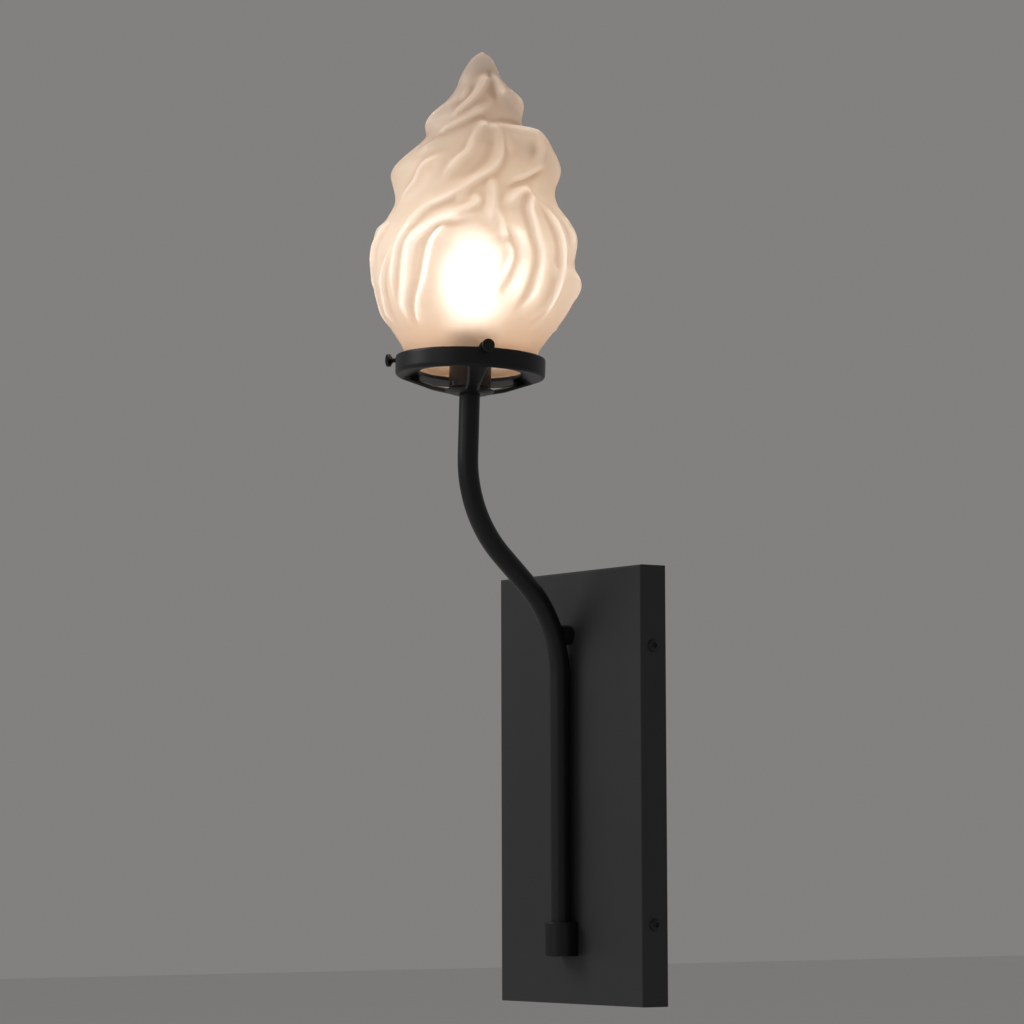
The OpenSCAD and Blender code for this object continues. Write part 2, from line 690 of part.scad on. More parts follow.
module gallery() {
    color(c_black) at_head() difference() {
        union() {
            rotate_extrude($fn = 128) ring_profile();
            translate([0, 0, -hub_drop]) cylinder(r = hub_d / 2, h = hub_t);
            for (d = spider_dirs) rotate([0, 0, d]) spider_arm();
            for (d = screw_dirs) translate([0, 0, screw_z]) rotate([0, 0, d]) rotate([90, 0, 0])
                translate([0, 0, ring_in_r + 0.3]) cylinder(r = lug_r, h = ring_t - 0.2);
        }
        translate([0, 0, -hub_drop - 1]) cylinder(r = nipple_r + hole_gap, h = hub_t + 4);
        translate([0, 0, hub_top]) cylinder(r = holder_r + 1, h = ring_h);
        for (d = screw_dirs) translate([0, 0, screw_z]) rotate([0, 0, d]) rotate([90, 0, 0])
            translate([0, 0, ring_in_r - 2]) cylinder(d = screw_d, h = ring_t + 6);
    }
}

module hub_nipple() {
    color(c_brass) at_head() difference() {
        translate([0, 0, -hub_drop - hub_engage])
            cylinder(r = nipple_r - thread_gap, h = hub_engage + hub_t + cap_engage);
        translate([0, 0, -hub_drop - hub_engage - 1])
            cylinder(r = nipple_bore_r, h = hub_engage + hub_t + cap_engage + 2);
    }
}

// ---------------------------------------------------------------- lampholder

module holder_cap() {
    round = 2;
    color(c_bakelite) at_head() difference() {
        translate([0, 0, holder_z]) rotate_extrude() {
            translate([0, round]) square([holder_r, holder_cap_h - round]);
            square([holder_r - round, holder_cap_h]);
            translate([holder_r - round, round]) circle(r = round);
        }
        translate([0, 0, holder_z - 1]) cylinder(r = nipple_r, h = holder_cap_h);
        translate([0, 0, cavity_z]) cylinder(r = cavity_r, h = holder_cap_h);
        translate([0, 0, insert_z]) cylinder(r = holder_r - holder_t - 0.2, h = holder_cap_h);
        translate([0, 0, holder_z + cap_engage / 2]) rotate([90, 0, 0])
            cylinder(r = m3_r, h = holder_r + 1);
    }
}

module holder_grub_screw() {
    color(c_zinc) at_head() translate([0, 0, holder_z + cap_engage / 2]) rotate([90, 0, 0]) difference() {
        translate([0, 0, nipple_r]) cylinder(r = m3_r - thread_gap, h = holder_r - nipple_r - 0.6);
        translate([0, 0, holder_r - 2]) hex(0.8, 4);
    }
}

module holder_insert() {
    color(c_ceramic) at_head() difference() {
        translate([0, 0, insert_z]) cylinder(r = holder_r - holder_t - 0.25, h = insert_top - insert_z);
        translate([0, 0, pocket_z]) cylinder(r = thread_r + thread_t + thread_gap, h = 10);
        for (s = [-1, 1]) translate([s * post_x, 0, insert_z - 1])
            cylinder(r = post_r + thread_gap, h = post_top + thread_gap - insert_z + 1);
        translate([0, 0, insert_z - 1]) cylinder(r = 1.1, h = 10);
    }
}

module holder_contacts() {
    color(c_brass) at_head() {
        translate([0, 0, insert_z]) cylinder(r = 1.05, h = pocket_z - insert_z + 0.5);
        translate([-5, -1.6, pocket_z]) cube([10, 3.2, 0.5]);
        translate([-2, -1.6, pocket_z + 0.5]) cube([4, 3.2, 0.8]);
    }
}

module holder_terminals() {
    color(c_brass) at_head() for (s = [-1, 1]) translate([s * post_x, 0, post_foot])
        cylinder(r = post_r, h = post_top - post_foot);
}

module holder_thread_shell() {
    color(c_brass) at_head() difference() {
        translate([0, 0, pocket_z + 0.6]) cylinder(r = thread_r + thread_t, h = thread_top - pocket_z - 0.6);
        translate([0, 0, pocket_z - 1]) cylinder(r = thread_r, h = thread_top);
    }
}

module holder_skirt() {
    color(c_bakelite) at_head() difference() {
        union() {
            translate([0, 0, cap_top]) cylinder(r = holder_r, h = skirt_top - cap_top);
            translate([0, 0, cap_top + 2]) cylinder(r = holder_r, h = 2);
        }
        translate([0, 0, cap_top - 1]) cylinder(r = holder_r - holder_t, h = holder_h);
    }
    color(c_bakelite) at_head() difference() {
        translate([0, 0, thread_top - 2]) cylinder(r = holder_r - holder_t, h = 1.2);
        translate([0, 0, thread_top - 3]) cylinder(r = thread_r + thread_t + thread_gap, h = 4);
    }
}

// ---------------------------------------------------------------- lamp

module lamp_cap() {
    color(c_zinc) at_head() difference() {
        union() {
            translate([0, 0, lamp_z + 2]) cylinder(r = thread_r - 0.08, h = lamp_collar_z - lamp_z - 2);
            translate([0, 0, lamp_collar_z])
                cylinder(r1 = thread_r - 0.08, r2 = lamp_neck_r + 0.7, h = lamp_seat_z - lamp_collar_z);
            translate([0, 0, lamp_seat_z]) cylinder(r = lamp_neck_r + 0.7, h = 2);
        }
        translate([0, 0, lamp_z + 1]) cylinder(r = thread_r - 0.6, h = lamp_collar_z - lamp_z - 1);
        translate([0, 0, lamp_collar_z - eps])
            cylinder(r1 = thread_r - 0.6, r2 = lamp_neck_r + 0.1, h = lamp_seat_z - lamp_collar_z);
        translate([0, 0, lamp_seat_z - 0.1]) cylinder(r = lamp_neck_r + 0.1, h = 4);
    }
}

module lamp_insulator() {
    color(c_black) at_head() translate([0, 0, lamp_z + 0.8]) {
        cylinder(r1 = 3.2, r2 = thread_r - 0.7, h = 1.8);
        translate([0, 0, 1.8]) cylinder(r = thread_r - 0.7, h = 1);
    }
}

module lamp_contact() {
    color(c_zinc) at_head() translate([0, 0, lamp_z]) cylinder(r = 2.2, h = 0.8);
}

// Outline of the lamp's glass at an inset: a ball that runs down into its neck
module lamp_outline(inset) {
    ball_r = lamp_d / 2;
    a = 38;
    tan_r = ball_r * sin(a);
    tan_z = lamp_ball_z - ball_r * cos(a);
    difference() {
        union() {
            translate([0, lamp_ball_z]) circle(r = ball_r - inset);
            polygon([[0, lamp_seat_z], [lamp_neck_r - inset, lamp_seat_z],
                [lamp_neck_r - inset, lamp_neck_z + 2],
                [tan_r - inset, tan_z], [tan_r - inset, lamp_ball_z], [0, lamp_ball_z]]);
        }
        translate([-lamp_d, 0]) square([lamp_d, 2 * lamp_top]);
    }
}

module lamp_glass() {
    color(c_opal) at_head() rotate_extrude() difference() {
        lamp_outline(0);
        lamp_outline(lamp_t);
        translate([-1, lamp_seat_z - 1]) square([lamp_neck_r - lamp_t + 1, 3]);
    }
}

module lamp_stem() {
    color(c_glass) at_head() {
        translate([0, 0, lamp_seat_z]) cylinder(r1 = lamp_neck_r - lamp_t - 0.1, r2 = 3, h = 7);
        translate([0, 0, lamp_seat_z + 7]) cylinder(r = stem_r, h = lamp_ball_z - lamp_seat_z + 4);
    }
}

module lamp_filaments() {
    at = 3.2;
    color("gold") at_head() for (i = [0 : 3]) rotate([0, 0, 90 * i]) translate([at, 0, lamp_ball_z - 14]) {
        cylinder(r = 0.8, h = 24);
        translate([stem_r + eps - at, -0.3, 22]) cube([at - stem_r, 0.6, 0.6]);
    }
}

// ---------------------------------------------------------------- thumbscrews

module thumbscrew(dir) {
    color(c_black) at_screw(dir) difference() {
        union() {
            translate([0, 0, shank_end])
                cylinder(r = screw_d / 2 - thread_gap, h = knob_out - knob_t - shank_end);
            translate([0, 0, knob_out - knob_t - knob_back])
                cylinder(r1 = screw_d / 2 - thread_gap, r2 = knob_d / 2 - knob_step, h = knob_back + eps);
            translate([0, 0, knob_out - knob_t]) rotate_extrude() {
                translate([0, 0.4]) square([knob_d / 2, knob_t - 0.8]);
                square([knob_d / 2 - 0.4, knob_t]);
                for (z = [0.4, knob_t - 0.4]) translate([knob_d / 2 - 0.4, z]) circle(r = 0.4);
            }
        }
        translate([0, 0, shank_end - 1]) cylinder(r = 0.65, h = 3.2);
    }
}

module screw_tip(dir) {
    color(c_ceramic) at_screw(dir) {
        translate([0, 0, tip_end]) cylinder(r = screw_d / 2 - 0.15, h = tip_len);
        translate([0, 0, tip_end]) cylinder(r = 0.6, h = tip_len + 2);
    }
}

module thumbscrew_front() { thumbscrew(screw_dirs[0]); }
module thumbscrew_left() { thumbscrew(screw_dirs[1]); }
module thumbscrew_rear() { thumbscrew(screw_dirs[2]); }
module screw_tip_front() { screw_tip(screw_dirs[0]); }
module screw_tip_left() { screw_tip(screw_dirs[1]); }
module screw_tip_rear() { screw_tip(screw_dirs[2]); }

// ---------------------------------------------------------------- glass flame

function ease(t) = let (c = min(max(t, 0), 1)) c * c * (3 - 2 * c);
function turned(a) = a - 360 * floor((a + 180) / 360);
function form_slope(i) =
    i == 0 || i == len(FORM) - 1 ? 0
    : (FORM[i + 1][1] - FORM[i - 1][1]) / (FORM[i + 1][0] - FORM[i - 1][0]);
function form_step(s, i = 0) = i >= len(FORM) - 2 || s < FORM[i + 1][0] ? i : form_step(s, i + 1);
// Radius of the bare form at a share s of the height between neck and tip
function form_r(s) =
    let (i = form_step(s), h = FORM[i + 1][0] - FORM[i][0], t = (s - FORM[i][0]) / h)
        flame_r * ((2 * t ^ 3 - 3 * t ^ 2 + 1) * FORM[i][1] + (t ^ 3 - 2 * t ^ 2 + t) * h * form_slope(i)
            + (3 * t ^ 2 - 2 * t ^ 3) * FORM[i + 1][1] + (t ^ 3 - t ^ 2) * h * form_slope(i + 1));

// A crest as a smooth line through its points, two steps a length
function spline_pt(p, q, r, t, u) =
    0.5 * (2 * q + (r - p) * t + (2 * p - 5 * q + 4 * r - u) * t ^ 2 + (3 * q - p - 3 * r + u) * t ^ 3);
function spine(v) =
    let (n = len(v), e = concat([2 * v[0] - v[1]], v, [2 * v[n - 1] - v[n - 2]]))
        concat([for (i = [0 : n - 2], t = [0, 0.5]) spline_pt(e[i], e[i + 1], e[i + 2], t, e[i + 3])],
            [v[n - 1]]);
SPINES = [for (g = TONGUES) spine(g[6])];
function flame_share(z) = (z - drawn_foot) / (drawn_h - drawn_foot);
function step_len(p, q) =
    norm([(q[0] - p[0]) * PI / 180 * form_r(flame_share((p[1] + q[1]) / 2)) / draw_scale, q[1] - p[1]]);
SPINE_STEPS = [for (v = SPINES) [for (i = [0 : len(v) - 2]) step_len(v[i], v[i + 1])]];
function upto(v, n, i = 0) = i >= n ? 0 : v[i] + upto(v, n, i + 1);
SPINE_RUNS = [for (v = SPINE_STEPS) [for (i = [0 : len(v)]) upto(v, i)]];
// How sharply the nearest stretch of a crest stands out from the rest, per mm
nearness = 0.6;
side_blend = 1.6;

// A crest's share at a point: weight, side of the crest and length along, for one step of it;
// k is mm per degree round the shade
function crest_share(a, z, k, p, q, step, run) =
    let (dx = (q[0] - p[0]) * k, dz = q[1] - p[1], px = turned(a - p[0]) * k, pz = z - p[1],
        l = norm([dx, dz]), t = min(max((px * dx + pz * dz) / l ^ 2, 0), 1),
        w = step * exp(-nearness * norm([px - t * dx, pz - t * dz])))
        [w, w * (dz * px - dx * pz) / l, w * (run + t * step)];
function tongue_at(a, z, k, g, v, steps, runs) =
    let (n = len(steps), reach = 4 + 3.2 * g[2])
        z < v[0][1] - reach || z > v[n][1] + reach ? 0
        : let (shares = [for (i = [0 : n - 1]) crest_share(a, z, k, v[i], v[i + 1], steps[i], runs[i])],
            total = [for (i = [0 : n - 1]) 1] * shares, weight = max(total[0], 1e-30),
            d = max(ln(2 / nearness / weight) / nearness, 0),
            side = total[1] / weight, along = total[2] / weight,
            steep = 0.5 + 0.5 * g[3] * side / sqrt(side ^ 2 + side_blend ^ 2),
            w = d / (g[1] * steep + g[2] * (1 - steep)))
            g[0] * ease(along / g[4]) * (0.25 + 0.75 * ease((runs[n] - along) / g[5])) / (1 + w * w) ^ 2;
function swell_at(a, z, k, w) =
    w[2] * exp(-(turned(a - w[0]) * k / w[3]) ^ 2 - ((z - w[1]) / (z > w[1] ? w[4] : w[5])) ^ 2);
function total_of(v) = len(v) == 0 ? 0 : [for (x = v) 1] * v;
// The shade's back repeats its tongues half a turn round, as its two-part mould does
function relief(a, s) =
    let (z = drawn_foot + s * (drawn_h - drawn_foot), k = max(form_r(s) / draw_scale, 6) * PI / 180,
        ridges = total_of([for (i = [0 : len(TONGUES) - 1], b = [a, a + 180])
            tongue_at(b, z, k, TONGUES[i], SPINES[i], SPINE_STEPS[i], SPINE_RUNS[i]) ^ 3]) ^ (1 / 3),
        swells = total_of([for (w = SWELLS) swell_at(a, z, k, w)]))
        tongue_relief * draw_scale * ease((z - 14) / 16) * ease((drawn_h - z) / 12) * (ridges + swells);

function shade_pt(a, r, s) =
    let (t = a + flame_turn, x = tip_shift * ease((s - 0.85) / 0.15))
        [r * sin(t) + x * cos(flame_turn), -r * cos(t) + x * sin(flame_turn),
            flame_foot + s * (flame_h - flame_foot)];
function shade_ring(r, s, cols) = [for (j = [0 : cols - 1]) let (a = 360 * j / cols) shade_pt(a, r, s)];
function relief_ring(s, cols) =
    [for (j = [0 : cols - 1]) let (a = 360 * j / cols) shade_pt(a, max(form_r(s) + relief(a, s), tip_r), s)];
function flat(v) = [for (ring = v) for (p = ring) p];

// A closed solid through rings of equal count, capped at both ends
module ring_solid(rings) {
    cols = len(rings[0]);
    rows = len(rings) - 1;
    quads = [for (i = [0 : rows - 1], j = [0 : cols - 1])
        let (a = i * cols + j, b = i * cols + (j + 1) % cols) [[a, b + cols, b], [a, a + cols, b + cols]]];
    polyhedron(points = flat(rings), faces = concat([for (q = quads) q[0]], [for (q = quads) q[1]],
        [[for (j = [0 : cols - 1]) j]],
        [[for (j = [cols - 1 : -1 : 0]) rows * cols + j]]));
}

// The glass runs in one skin: down the bore, across its foot and up the outside
module glass_shade() {
    bore_top = 0.93;
    neck_foot = (seat_z - flame_foot) / (flame_h - flame_foot);
    color(c_glass) at_head() ring_solid(concat(
        [for (i = [bore_rows : -1 : 0])
            let (s = bore_top * i / bore_rows) shade_ring(form_r(s) - glass_t, s, flame_cols)],
        [shade_ring(neck_d / 2 - glass_t, neck_foot, flame_cols)],
        [shade_ring(neck_d / 2, neck_foot, flame_cols)],
        [for (i = [0 : flame_rows]) relief_ring(i / flame_rows, flame_cols)]));
}

// ---------------------------------------------------------------- the model

cover_box();
wall_bracket();
side_screws();
cable_grommet();
terminal_block();
terminal_sleeves();
terminal_screws();
terminal_fixing_screw();
earth_screw();
earth_tag();
earth_wire();
arm_tube();
end_block();
entry_nipple();
entry_washer();
entry_nut();
standoff();
standoff_screw();
standoff_washer();
live_wire();
neutral_wire();
gallery();
hub_nipple();
holder_cap();
holder_grub_screw();
holder_insert();
holder_contacts();
holder_terminals();
holder_thread_shell();
holder_skirt();
lamp_cap();
lamp_insulator();
lamp_contact();
lamp_glass();
lamp_stem();
lamp_filaments();
thumbscrew_front();
thumbscrew_left();
thumbscrew_rear();
screw_tip_front();
screw_tip_left();
screw_tip_rear();
glass_shade();
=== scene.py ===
"""The dressed torch sconce: a finish for every piece, and modelled forms for the glass flame, the
gallery casting, the swan-neck tube, the thumbscrews and the side screws. The wall is y = 0, the
front faces -Y and +Z is up. The scene is in metres, and shapes are given in millimetres."""
import json
import math

import bmesh
import bpy
import numpy as np
from mathutils import Matrix, Vector


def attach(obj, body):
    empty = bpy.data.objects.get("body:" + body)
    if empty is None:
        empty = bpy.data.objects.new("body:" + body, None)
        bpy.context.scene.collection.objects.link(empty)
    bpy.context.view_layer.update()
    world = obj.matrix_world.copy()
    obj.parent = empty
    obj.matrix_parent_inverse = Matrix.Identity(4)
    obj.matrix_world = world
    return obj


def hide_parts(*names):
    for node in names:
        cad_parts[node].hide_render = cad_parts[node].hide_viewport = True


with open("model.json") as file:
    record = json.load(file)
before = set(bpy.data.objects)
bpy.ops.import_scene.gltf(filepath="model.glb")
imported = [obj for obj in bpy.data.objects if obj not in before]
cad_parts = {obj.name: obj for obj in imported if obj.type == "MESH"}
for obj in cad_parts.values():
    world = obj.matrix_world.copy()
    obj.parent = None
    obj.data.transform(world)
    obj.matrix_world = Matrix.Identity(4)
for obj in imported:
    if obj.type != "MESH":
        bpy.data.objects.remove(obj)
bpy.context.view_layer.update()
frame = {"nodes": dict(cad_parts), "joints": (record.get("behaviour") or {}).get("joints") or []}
NODES = frame["nodes"]
JOINTS = {joint["name"]: joint for joint in frame["joints"]}
MM = 0.001
MERGE = 0.001 * MM  # points nearer than this are made one

# ------------------------------------------------------------------ places, read from the frame

HEAD_UP = Vector(JOINTS["shade_lift"]["axis"]).normalized()
LEAN = math.atan2(HEAD_UP.y, HEAD_UP.z)
LAMP_TURN_HEIGHT = 20 * MM  # where the lamp's turn is placed, above the ring's foot
RING_FOOT = Vector(JOINTS["lamp_turn"]["pos_m"]) - HEAD_UP * LAMP_TURN_HEIGHT
# the head's own frame: its origin is the middle of the ring's foot, and its +Z is the leaning axis
HEAD = Matrix((
    (1, 0, 0, RING_FOOT.x),
    (0, math.cos(LEAN), math.sin(LEAN), RING_FOOT.y),
    (0, -math.sin(LEAN), math.cos(LEAN), RING_FOOT.z),
    (0, 0, 0, 1)))
HEAD_MM = HEAD @ Matrix.Scale(MM, 4)
SCREWS = {
    name: Vector(JOINTS[name + "_screw_turn"]["axis"]).normalized()
    for name in ("front", "left", "rear")}


def head_places(mesh):
    """The mesh's points in the head's frame, in millimetres."""
    to_head = HEAD_MM.inverted()
    return np.array([to_head @ vertex.co for vertex in mesh.vertices])


# ------------------------------------------------------------------ node graphs


class Value:
    """One output socket of a graph. Arithmetic on it adds Math nodes."""

    def __init__(self, graph, socket):
        self.graph, self.socket = graph, socket

    def __add__(self, other):
        return self.graph.maths("ADD", self, other)

    def __sub__(self, other):
        return self.graph.maths("SUBTRACT", self, other)

    def __mul__(self, other):
        return self.graph.maths("MULTIPLY", self, other)

    def __truediv__(self, other):
        return self.graph.maths("DIVIDE", self, other)

    def __rsub__(self, other):
        return self.graph.maths("SUBTRACT", other, self)

    def __rtruediv__(self, other):
        return self.graph.maths("DIVIDE", other, self)

    __radd__ = __add__
    __rmul__ = __mul__


def set_stops(ramp, stops):
    """Gives a colour ramp its stops, each a place and a colour."""
    while len(ramp) < len(stops):
        ramp.new(0.5)
    for element, (place, colour) in zip(ramp, stops):
        element.position, element.color = place, (*colour, 1)


class Graph:
    """A node tree with one way to add a node and one to read an output."""

    def __init__(self, tree):
        self.tree = tree
        tree.nodes.clear()

    def node(self, kind, settings=None, inputs=None):
        """Adds a node: its settings first, then the values or links of its sockets."""
        made = self.tree.nodes.new(kind)
        for key, value in (settings or {}).items():
            if key == "stops":
                set_stops(made.color_ramp.elements, value)
            else:
                setattr(made, key, value)
        for key, value in (inputs or {}).items():
            if isinstance(value, Value):
                self.tree.links.new(value.socket, made.inputs[key])
            else:
                made.inputs[key].default_value = value
        return made

    def out(self, kind, settings=None, inputs=None, output=0):
        """Adds a node and gives one of its outputs."""
        return Value(self, self.node(kind, settings, inputs).outputs[output])

    def maths(self, operation, *values):
        return self.out("ShaderNodeMath", {"operation": operation}, dict(enumerate(values)))


class Finish(Graph):
    """A material: its place socket, its noises and its one surface shader."""

    def __init__(self, name):
        self.material = bpy.data.materials.new(name)
        self.material.use_nodes = True
        super().__init__(self.material.node_tree)
        self.place = self.out("ShaderNodeTexCoord", output="Object")

    def noise(self, size, detail=3.0, stretch=None):
        """Noise with features about this size in millimetres, 0 to 1."""
        place = self.place
        if stretch:
            place = self.out("ShaderNodeMapping", None, {"Vector": place, "Scale": stretch})
        return self.out("ShaderNodeTexNoise", None, {
            "Vector": place, "Scale": 1 / (size * MM), "Detail": detail, "Roughness": 0.55})

    def mix(self, share, first, second):
        sockets = {0: share, 6: first, 7: second}
        return self.out("ShaderNodeMix", {"data_type": "RGBA"}, sockets, 2)

    def ramp(self, value, stops):
        return self.out("ShaderNodeValToRGB", {"stops": stops}, {"Fac": value})

    def between(self, value, low, high):
        """How far a value is from low to high, 0 to 1, with soft ends."""
        return self.out("ShaderNodeMapRange", {"interpolation_type": "SMOOTHSTEP"}, {
            "Value": value, "From Min": low, "From Max": high})

    def bump(self, height, strength, depth, under=None):
        """A bump whose depth is in millimetres, over another one if it is given."""
        inputs = {"Height": height, "Strength": strength, "Distance": depth * MM}
        if under:
            inputs["Normal"] = under
        return self.out("ShaderNodeBump", None, inputs)

    def attribute(self, name):
        return self.out("ShaderNodeAttribute", {"attribute_name": name}, output="Fac")

    def surface(self, **inputs):
        """Ends the graph in one surface shader, whose sockets are named with _ for a space."""
        named = {key.replace("_", " "): value for key, value in inputs.items()}
        shader = self.node("ShaderNodeBsdfPrincipled", None, named)
        output = self.node("ShaderNodeOutputMaterial")
        self.tree.links.new(shader.outputs[0], output.inputs[0])
        return self.material


def tone(colour, share=1.0):
    """A colour for a socket, darker or lighter by a share."""
    return (*(c * share for c in colour), 1)


# ------------------------------------------------------------------ finishes


def powder_coat(name, dark, light, rough, grain=0.35):
    """Baked powder paint: fine orange peel, faint cloudiness and slightly rubbed edges, lighter
    partly as wear and partly as a painted highlight.
    """
    f = Finish(name)
    cloud = f.noise(38, detail=2)
    speck = f.noise(grain * 2, detail=2)
    colour = f.mix(cloud * 0.6 + speck * 0.4, tone(dark), tone(light))
    patches = f.between(f.noise(2.5, detail=4), 0.35, 0.65)
    # edges lighter in patches: partly rubbed wear, partly a painted highlight along them
    rubbed_and_lit_edge = f.between(f.attribute("edge"), 0.35, 1.0) * patches * 0.4
    colour = f.mix(rubbed_and_lit_edge, colour, tone(light, 2.6))
    worn = rough + f.noise(14) * 0.10 + speck * 0.06 - 0.06
    peel = f.bump(f.noise(1.1, detail=2), strength=0.16, depth=0.05)
    fine = f.bump(f.noise(grain, detail=2), strength=0.22, depth=0.02, under=peel)
    return f.surface(
        Base_Color=colour, Roughness=worn, Normal=fine, IOR=1.5, Specular_IOR_Level=0.32)


def plated_steel(name, colour, rough=0.34):
    """Zinc or nickel plate over rolled sheet: long faint rolling lines and cloudy passivation."""
    f = Finish(name)
    lines = f.noise(0.5, stretch=(1, 1, 0.03))
    cloud = f.noise(24)
    return f.surface(
        Base_Color=f.mix(cloud * 0.55 + lines * 0.45, tone(colour, 0.74), tone(colour)),
        Metallic=1.0,
        Roughness=rough + lines * 0.16 + cloud * 0.08,
        Normal=f.bump(lines, strength=0.12, depth=0.03))


def turned_brass(name):
    """Brass with fine turning rings, which has tarnished in places."""
    f = Finish(name)
    rings = f.noise(0.35, detail=2, stretch=(1, 1, 3))
    tarnish = f.noise(7, detail=4)
    browned = f.between(tarnish, 0.3, 0.75)
    return f.surface(
        Base_Color=f.mix(browned, tone((0.83, 0.62, 0.28)), tone((0.55, 0.36, 0.14))),
        Metallic=1.0,
        Roughness=0.22 + tarnish * 0.2,
        Normal=f.bump(rings, strength=0.1, depth=0.02))


def moulded(name, dark, light, rough, grain=1.6, transmission=0.0):
    """A moulded or glazed piece: faint flow marks and a soft bloom in its gloss."""
    f = Finish(name)
    flow = f.noise(grain * 6, detail=4)
    return f.surface(
        Base_Color=f.mix(flow, tone(dark), tone(light)),
        Roughness=rough + flow * 0.14,
        Normal=f.bump(f.noise(grain, detail=2), strength=0.12, depth=0.04),
        Transmission_Weight=transmission)


def insulation(name, colour, stripe=None):
    """The soft cover of a wire, with bands of a second colour where it has one."""
    f = Finish(name)
    cover = f.mix(f.noise(4), tone(colour, 0.8), tone(colour))
    if stripe:
        bands = f.out("ShaderNodeTexWave", {"bands_direction": "X"}, {
            "Vector": f.place, "Scale": 60.0})
        cover = f.mix(f.between(bands, 0.45, 0.55), cover, tone(stripe))
    return f.surface(
        Base_Color=cover,
        Roughness=0.42 + f.noise(1.5) * 0.1,
        Normal=f.bump(f.noise(0.8), strength=0.1, depth=0.03))


GLOBE_R = 22.5
GLOW_FULL, GLOW_LOW = 23.5, 38  # how far from the globe's middle the glow starts and stops fading


def glowing(name, colour, strength):
    """The lit lamp: full on its globe, and dimmer down its neck."""
    f = Finish(name)
    crown = head_places(NODES["lamp_glass"].data)[:, 2].max()
    middle = HEAD_MM @ Vector((0, 0, crown - GLOBE_R))
    away = f.out("ShaderNodeVectorMath", {"operation": "DISTANCE"}, {0: f.place, 1: middle}, 1)
    globe = f.mix(f.noise(9), tone(colour, 0.9), tone(colour))
    neck = f.between(away, GLOW_FULL * MM, GLOW_LOW * MM)
    return f.surface(
        Base_Color=tone((1, 0.96, 0.9)), Roughness=0.3,
        Emission_Color=f.mix(neck, globe, tone(colour, 0.2)), Emission_Strength=strength)


# Painted glow of the lamp's light in the glass, neck to tip: flats, painted highlight on crests,
# painted shade in hollows
PAINTED_GLOW_FLATS = [
    (0.0, (0.08, 0.045, 0.025)), (0.14, (0.15, 0.105, 0.075)), (0.34, (0.20, 0.15, 0.11)),
    (0.56, (0.15, 0.105, 0.07)), (0.78, (0.09, 0.062, 0.042)), (1.0, (0.07, 0.047, 0.032))]
PAINTED_GLOW_CRESTS = [
    (0.0, (0.32, 0.24, 0.18)), (0.14, (0.70, 0.66, 0.62)), (0.34, (0.55, 0.50, 0.46)),
    (0.56, (0.36, 0.30, 0.25)), (0.78, (0.30, 0.24, 0.195)), (1.0, (0.24, 0.185, 0.145))]
PAINTED_GLOW_HOLLOWS = [
    (0.0, (0.06, 0.035, 0.02)), (0.14, (0.09, 0.06, 0.035)), (0.34, (0.10, 0.065, 0.04)),
    (0.56, (0.05, 0.03, 0.015)), (0.78, (0.02, 0.01, 0.005)), (1.0, (0.03, 0.02, 0.01))]
# the glass's tint from neck to tip, warmer at the neck and darker towards the tip, then painted
# shade in a hollow and a painted highlight on a crest
GLASS_TINT = [
    (0.0, (0.95, 0.82, 0.69)), (0.12, (0.92, 0.85, 0.77)), (0.30, (0.92, 0.88, 0.83)),
    (0.60, (0.88, 0.83, 0.77)), (1.0, (0.84, 0.78, 0.73))]
HOLLOW_PAINTED_SHADE, CREST_PAINTED_HIGHLIGHT = (0.62, 0.51, 0.42), (1, 0.98, 0.95)


def flame_glass():
    """Pressed glass, acid-etched: it scatters the lamp's light, and a painted glow adds to it, with
    a painted highlight on the crests and painted shade in the hollows.
    """
    f = Finish("flame_glass")
    crest = f.attribute("crest") * 0.85
    hollow = f.attribute("hollow")
    frosting = f.noise(0.45)
    level = f.attribute("rise") + (f.noise(16) - 0.5) * 0.06
    # painted glow: brighter as a painted highlight on the crests, dimmer as painted shade in the
    # hollows
    glow = f.mix(crest, f.ramp(level, PAINTED_GLOW_FLATS), f.ramp(level, PAINTED_GLOW_CRESTS))
    glow = f.mix(hollow, glow, f.ramp(level, PAINTED_GLOW_HOLLOWS))
    # painted shade darkens the base colour in the hollows, and a painted highlight lightens it on
    # the crests
    tint_and_painted_shade = f.mix(hollow * (0.35 + level * 0.6), f.ramp(level, GLASS_TINT), tone(HOLLOW_PAINTED_SHADE))
    waves = f.bump(f.noise(3.2), strength=0.10, depth=0.12)
    return f.surface(
        Base_Color=f.mix(crest * 0.6, tint_and_painted_shade, tone(CREST_PAINTED_HIGHLIGHT)),
        Roughness=0.40 + frosting * 0.10 - crest * 0.06,
        IOR=1.46, Transmission_Weight=0.74,
        Emission_Color=glow, Emission_Strength=1.0,
        Normal=f.bump(frosting, strength=0.10, depth=0.04, under=waves))


# ------------------------------------------------------------------ mesh helpers


def shade_smooth(mesh, smooth=True):
    mesh.polygons.foreach_set("use_smooth", [smooth] * len(mesh.polygons))


def new_object(name, mesh, finish, smooth=True):
    made = bpy.data.objects.new(name, mesh)
    bpy.context.scene.collection.objects.link(made)
    mesh.materials.append(finish)
    shade_smooth(mesh, smooth)
    return made


def mesh_from(name, points, faces):
    mesh = bpy.data.meshes.new(name)
    mesh.from_pydata([tuple(p) for p in points], [], faces)
    mesh.update()
    return mesh


def ring_faces(rows, cols, looped=False):
    """Quads between rows of points that each close on themselves, facing away from their inside.
    A looped set of rows closes on its first row too."""
    i, j = np.meshgrid(np.arange(rows if looped else rows - 1), np.arange(cols), indexing="ij")
    here, beyond, after = i * cols, (i + 1) % rows * cols, (j + 1) % cols
    quads = np.stack([here + j, here + after, beyond + after, beyond + j], -1)
    return quads.reshape(-1, 4).tolist()


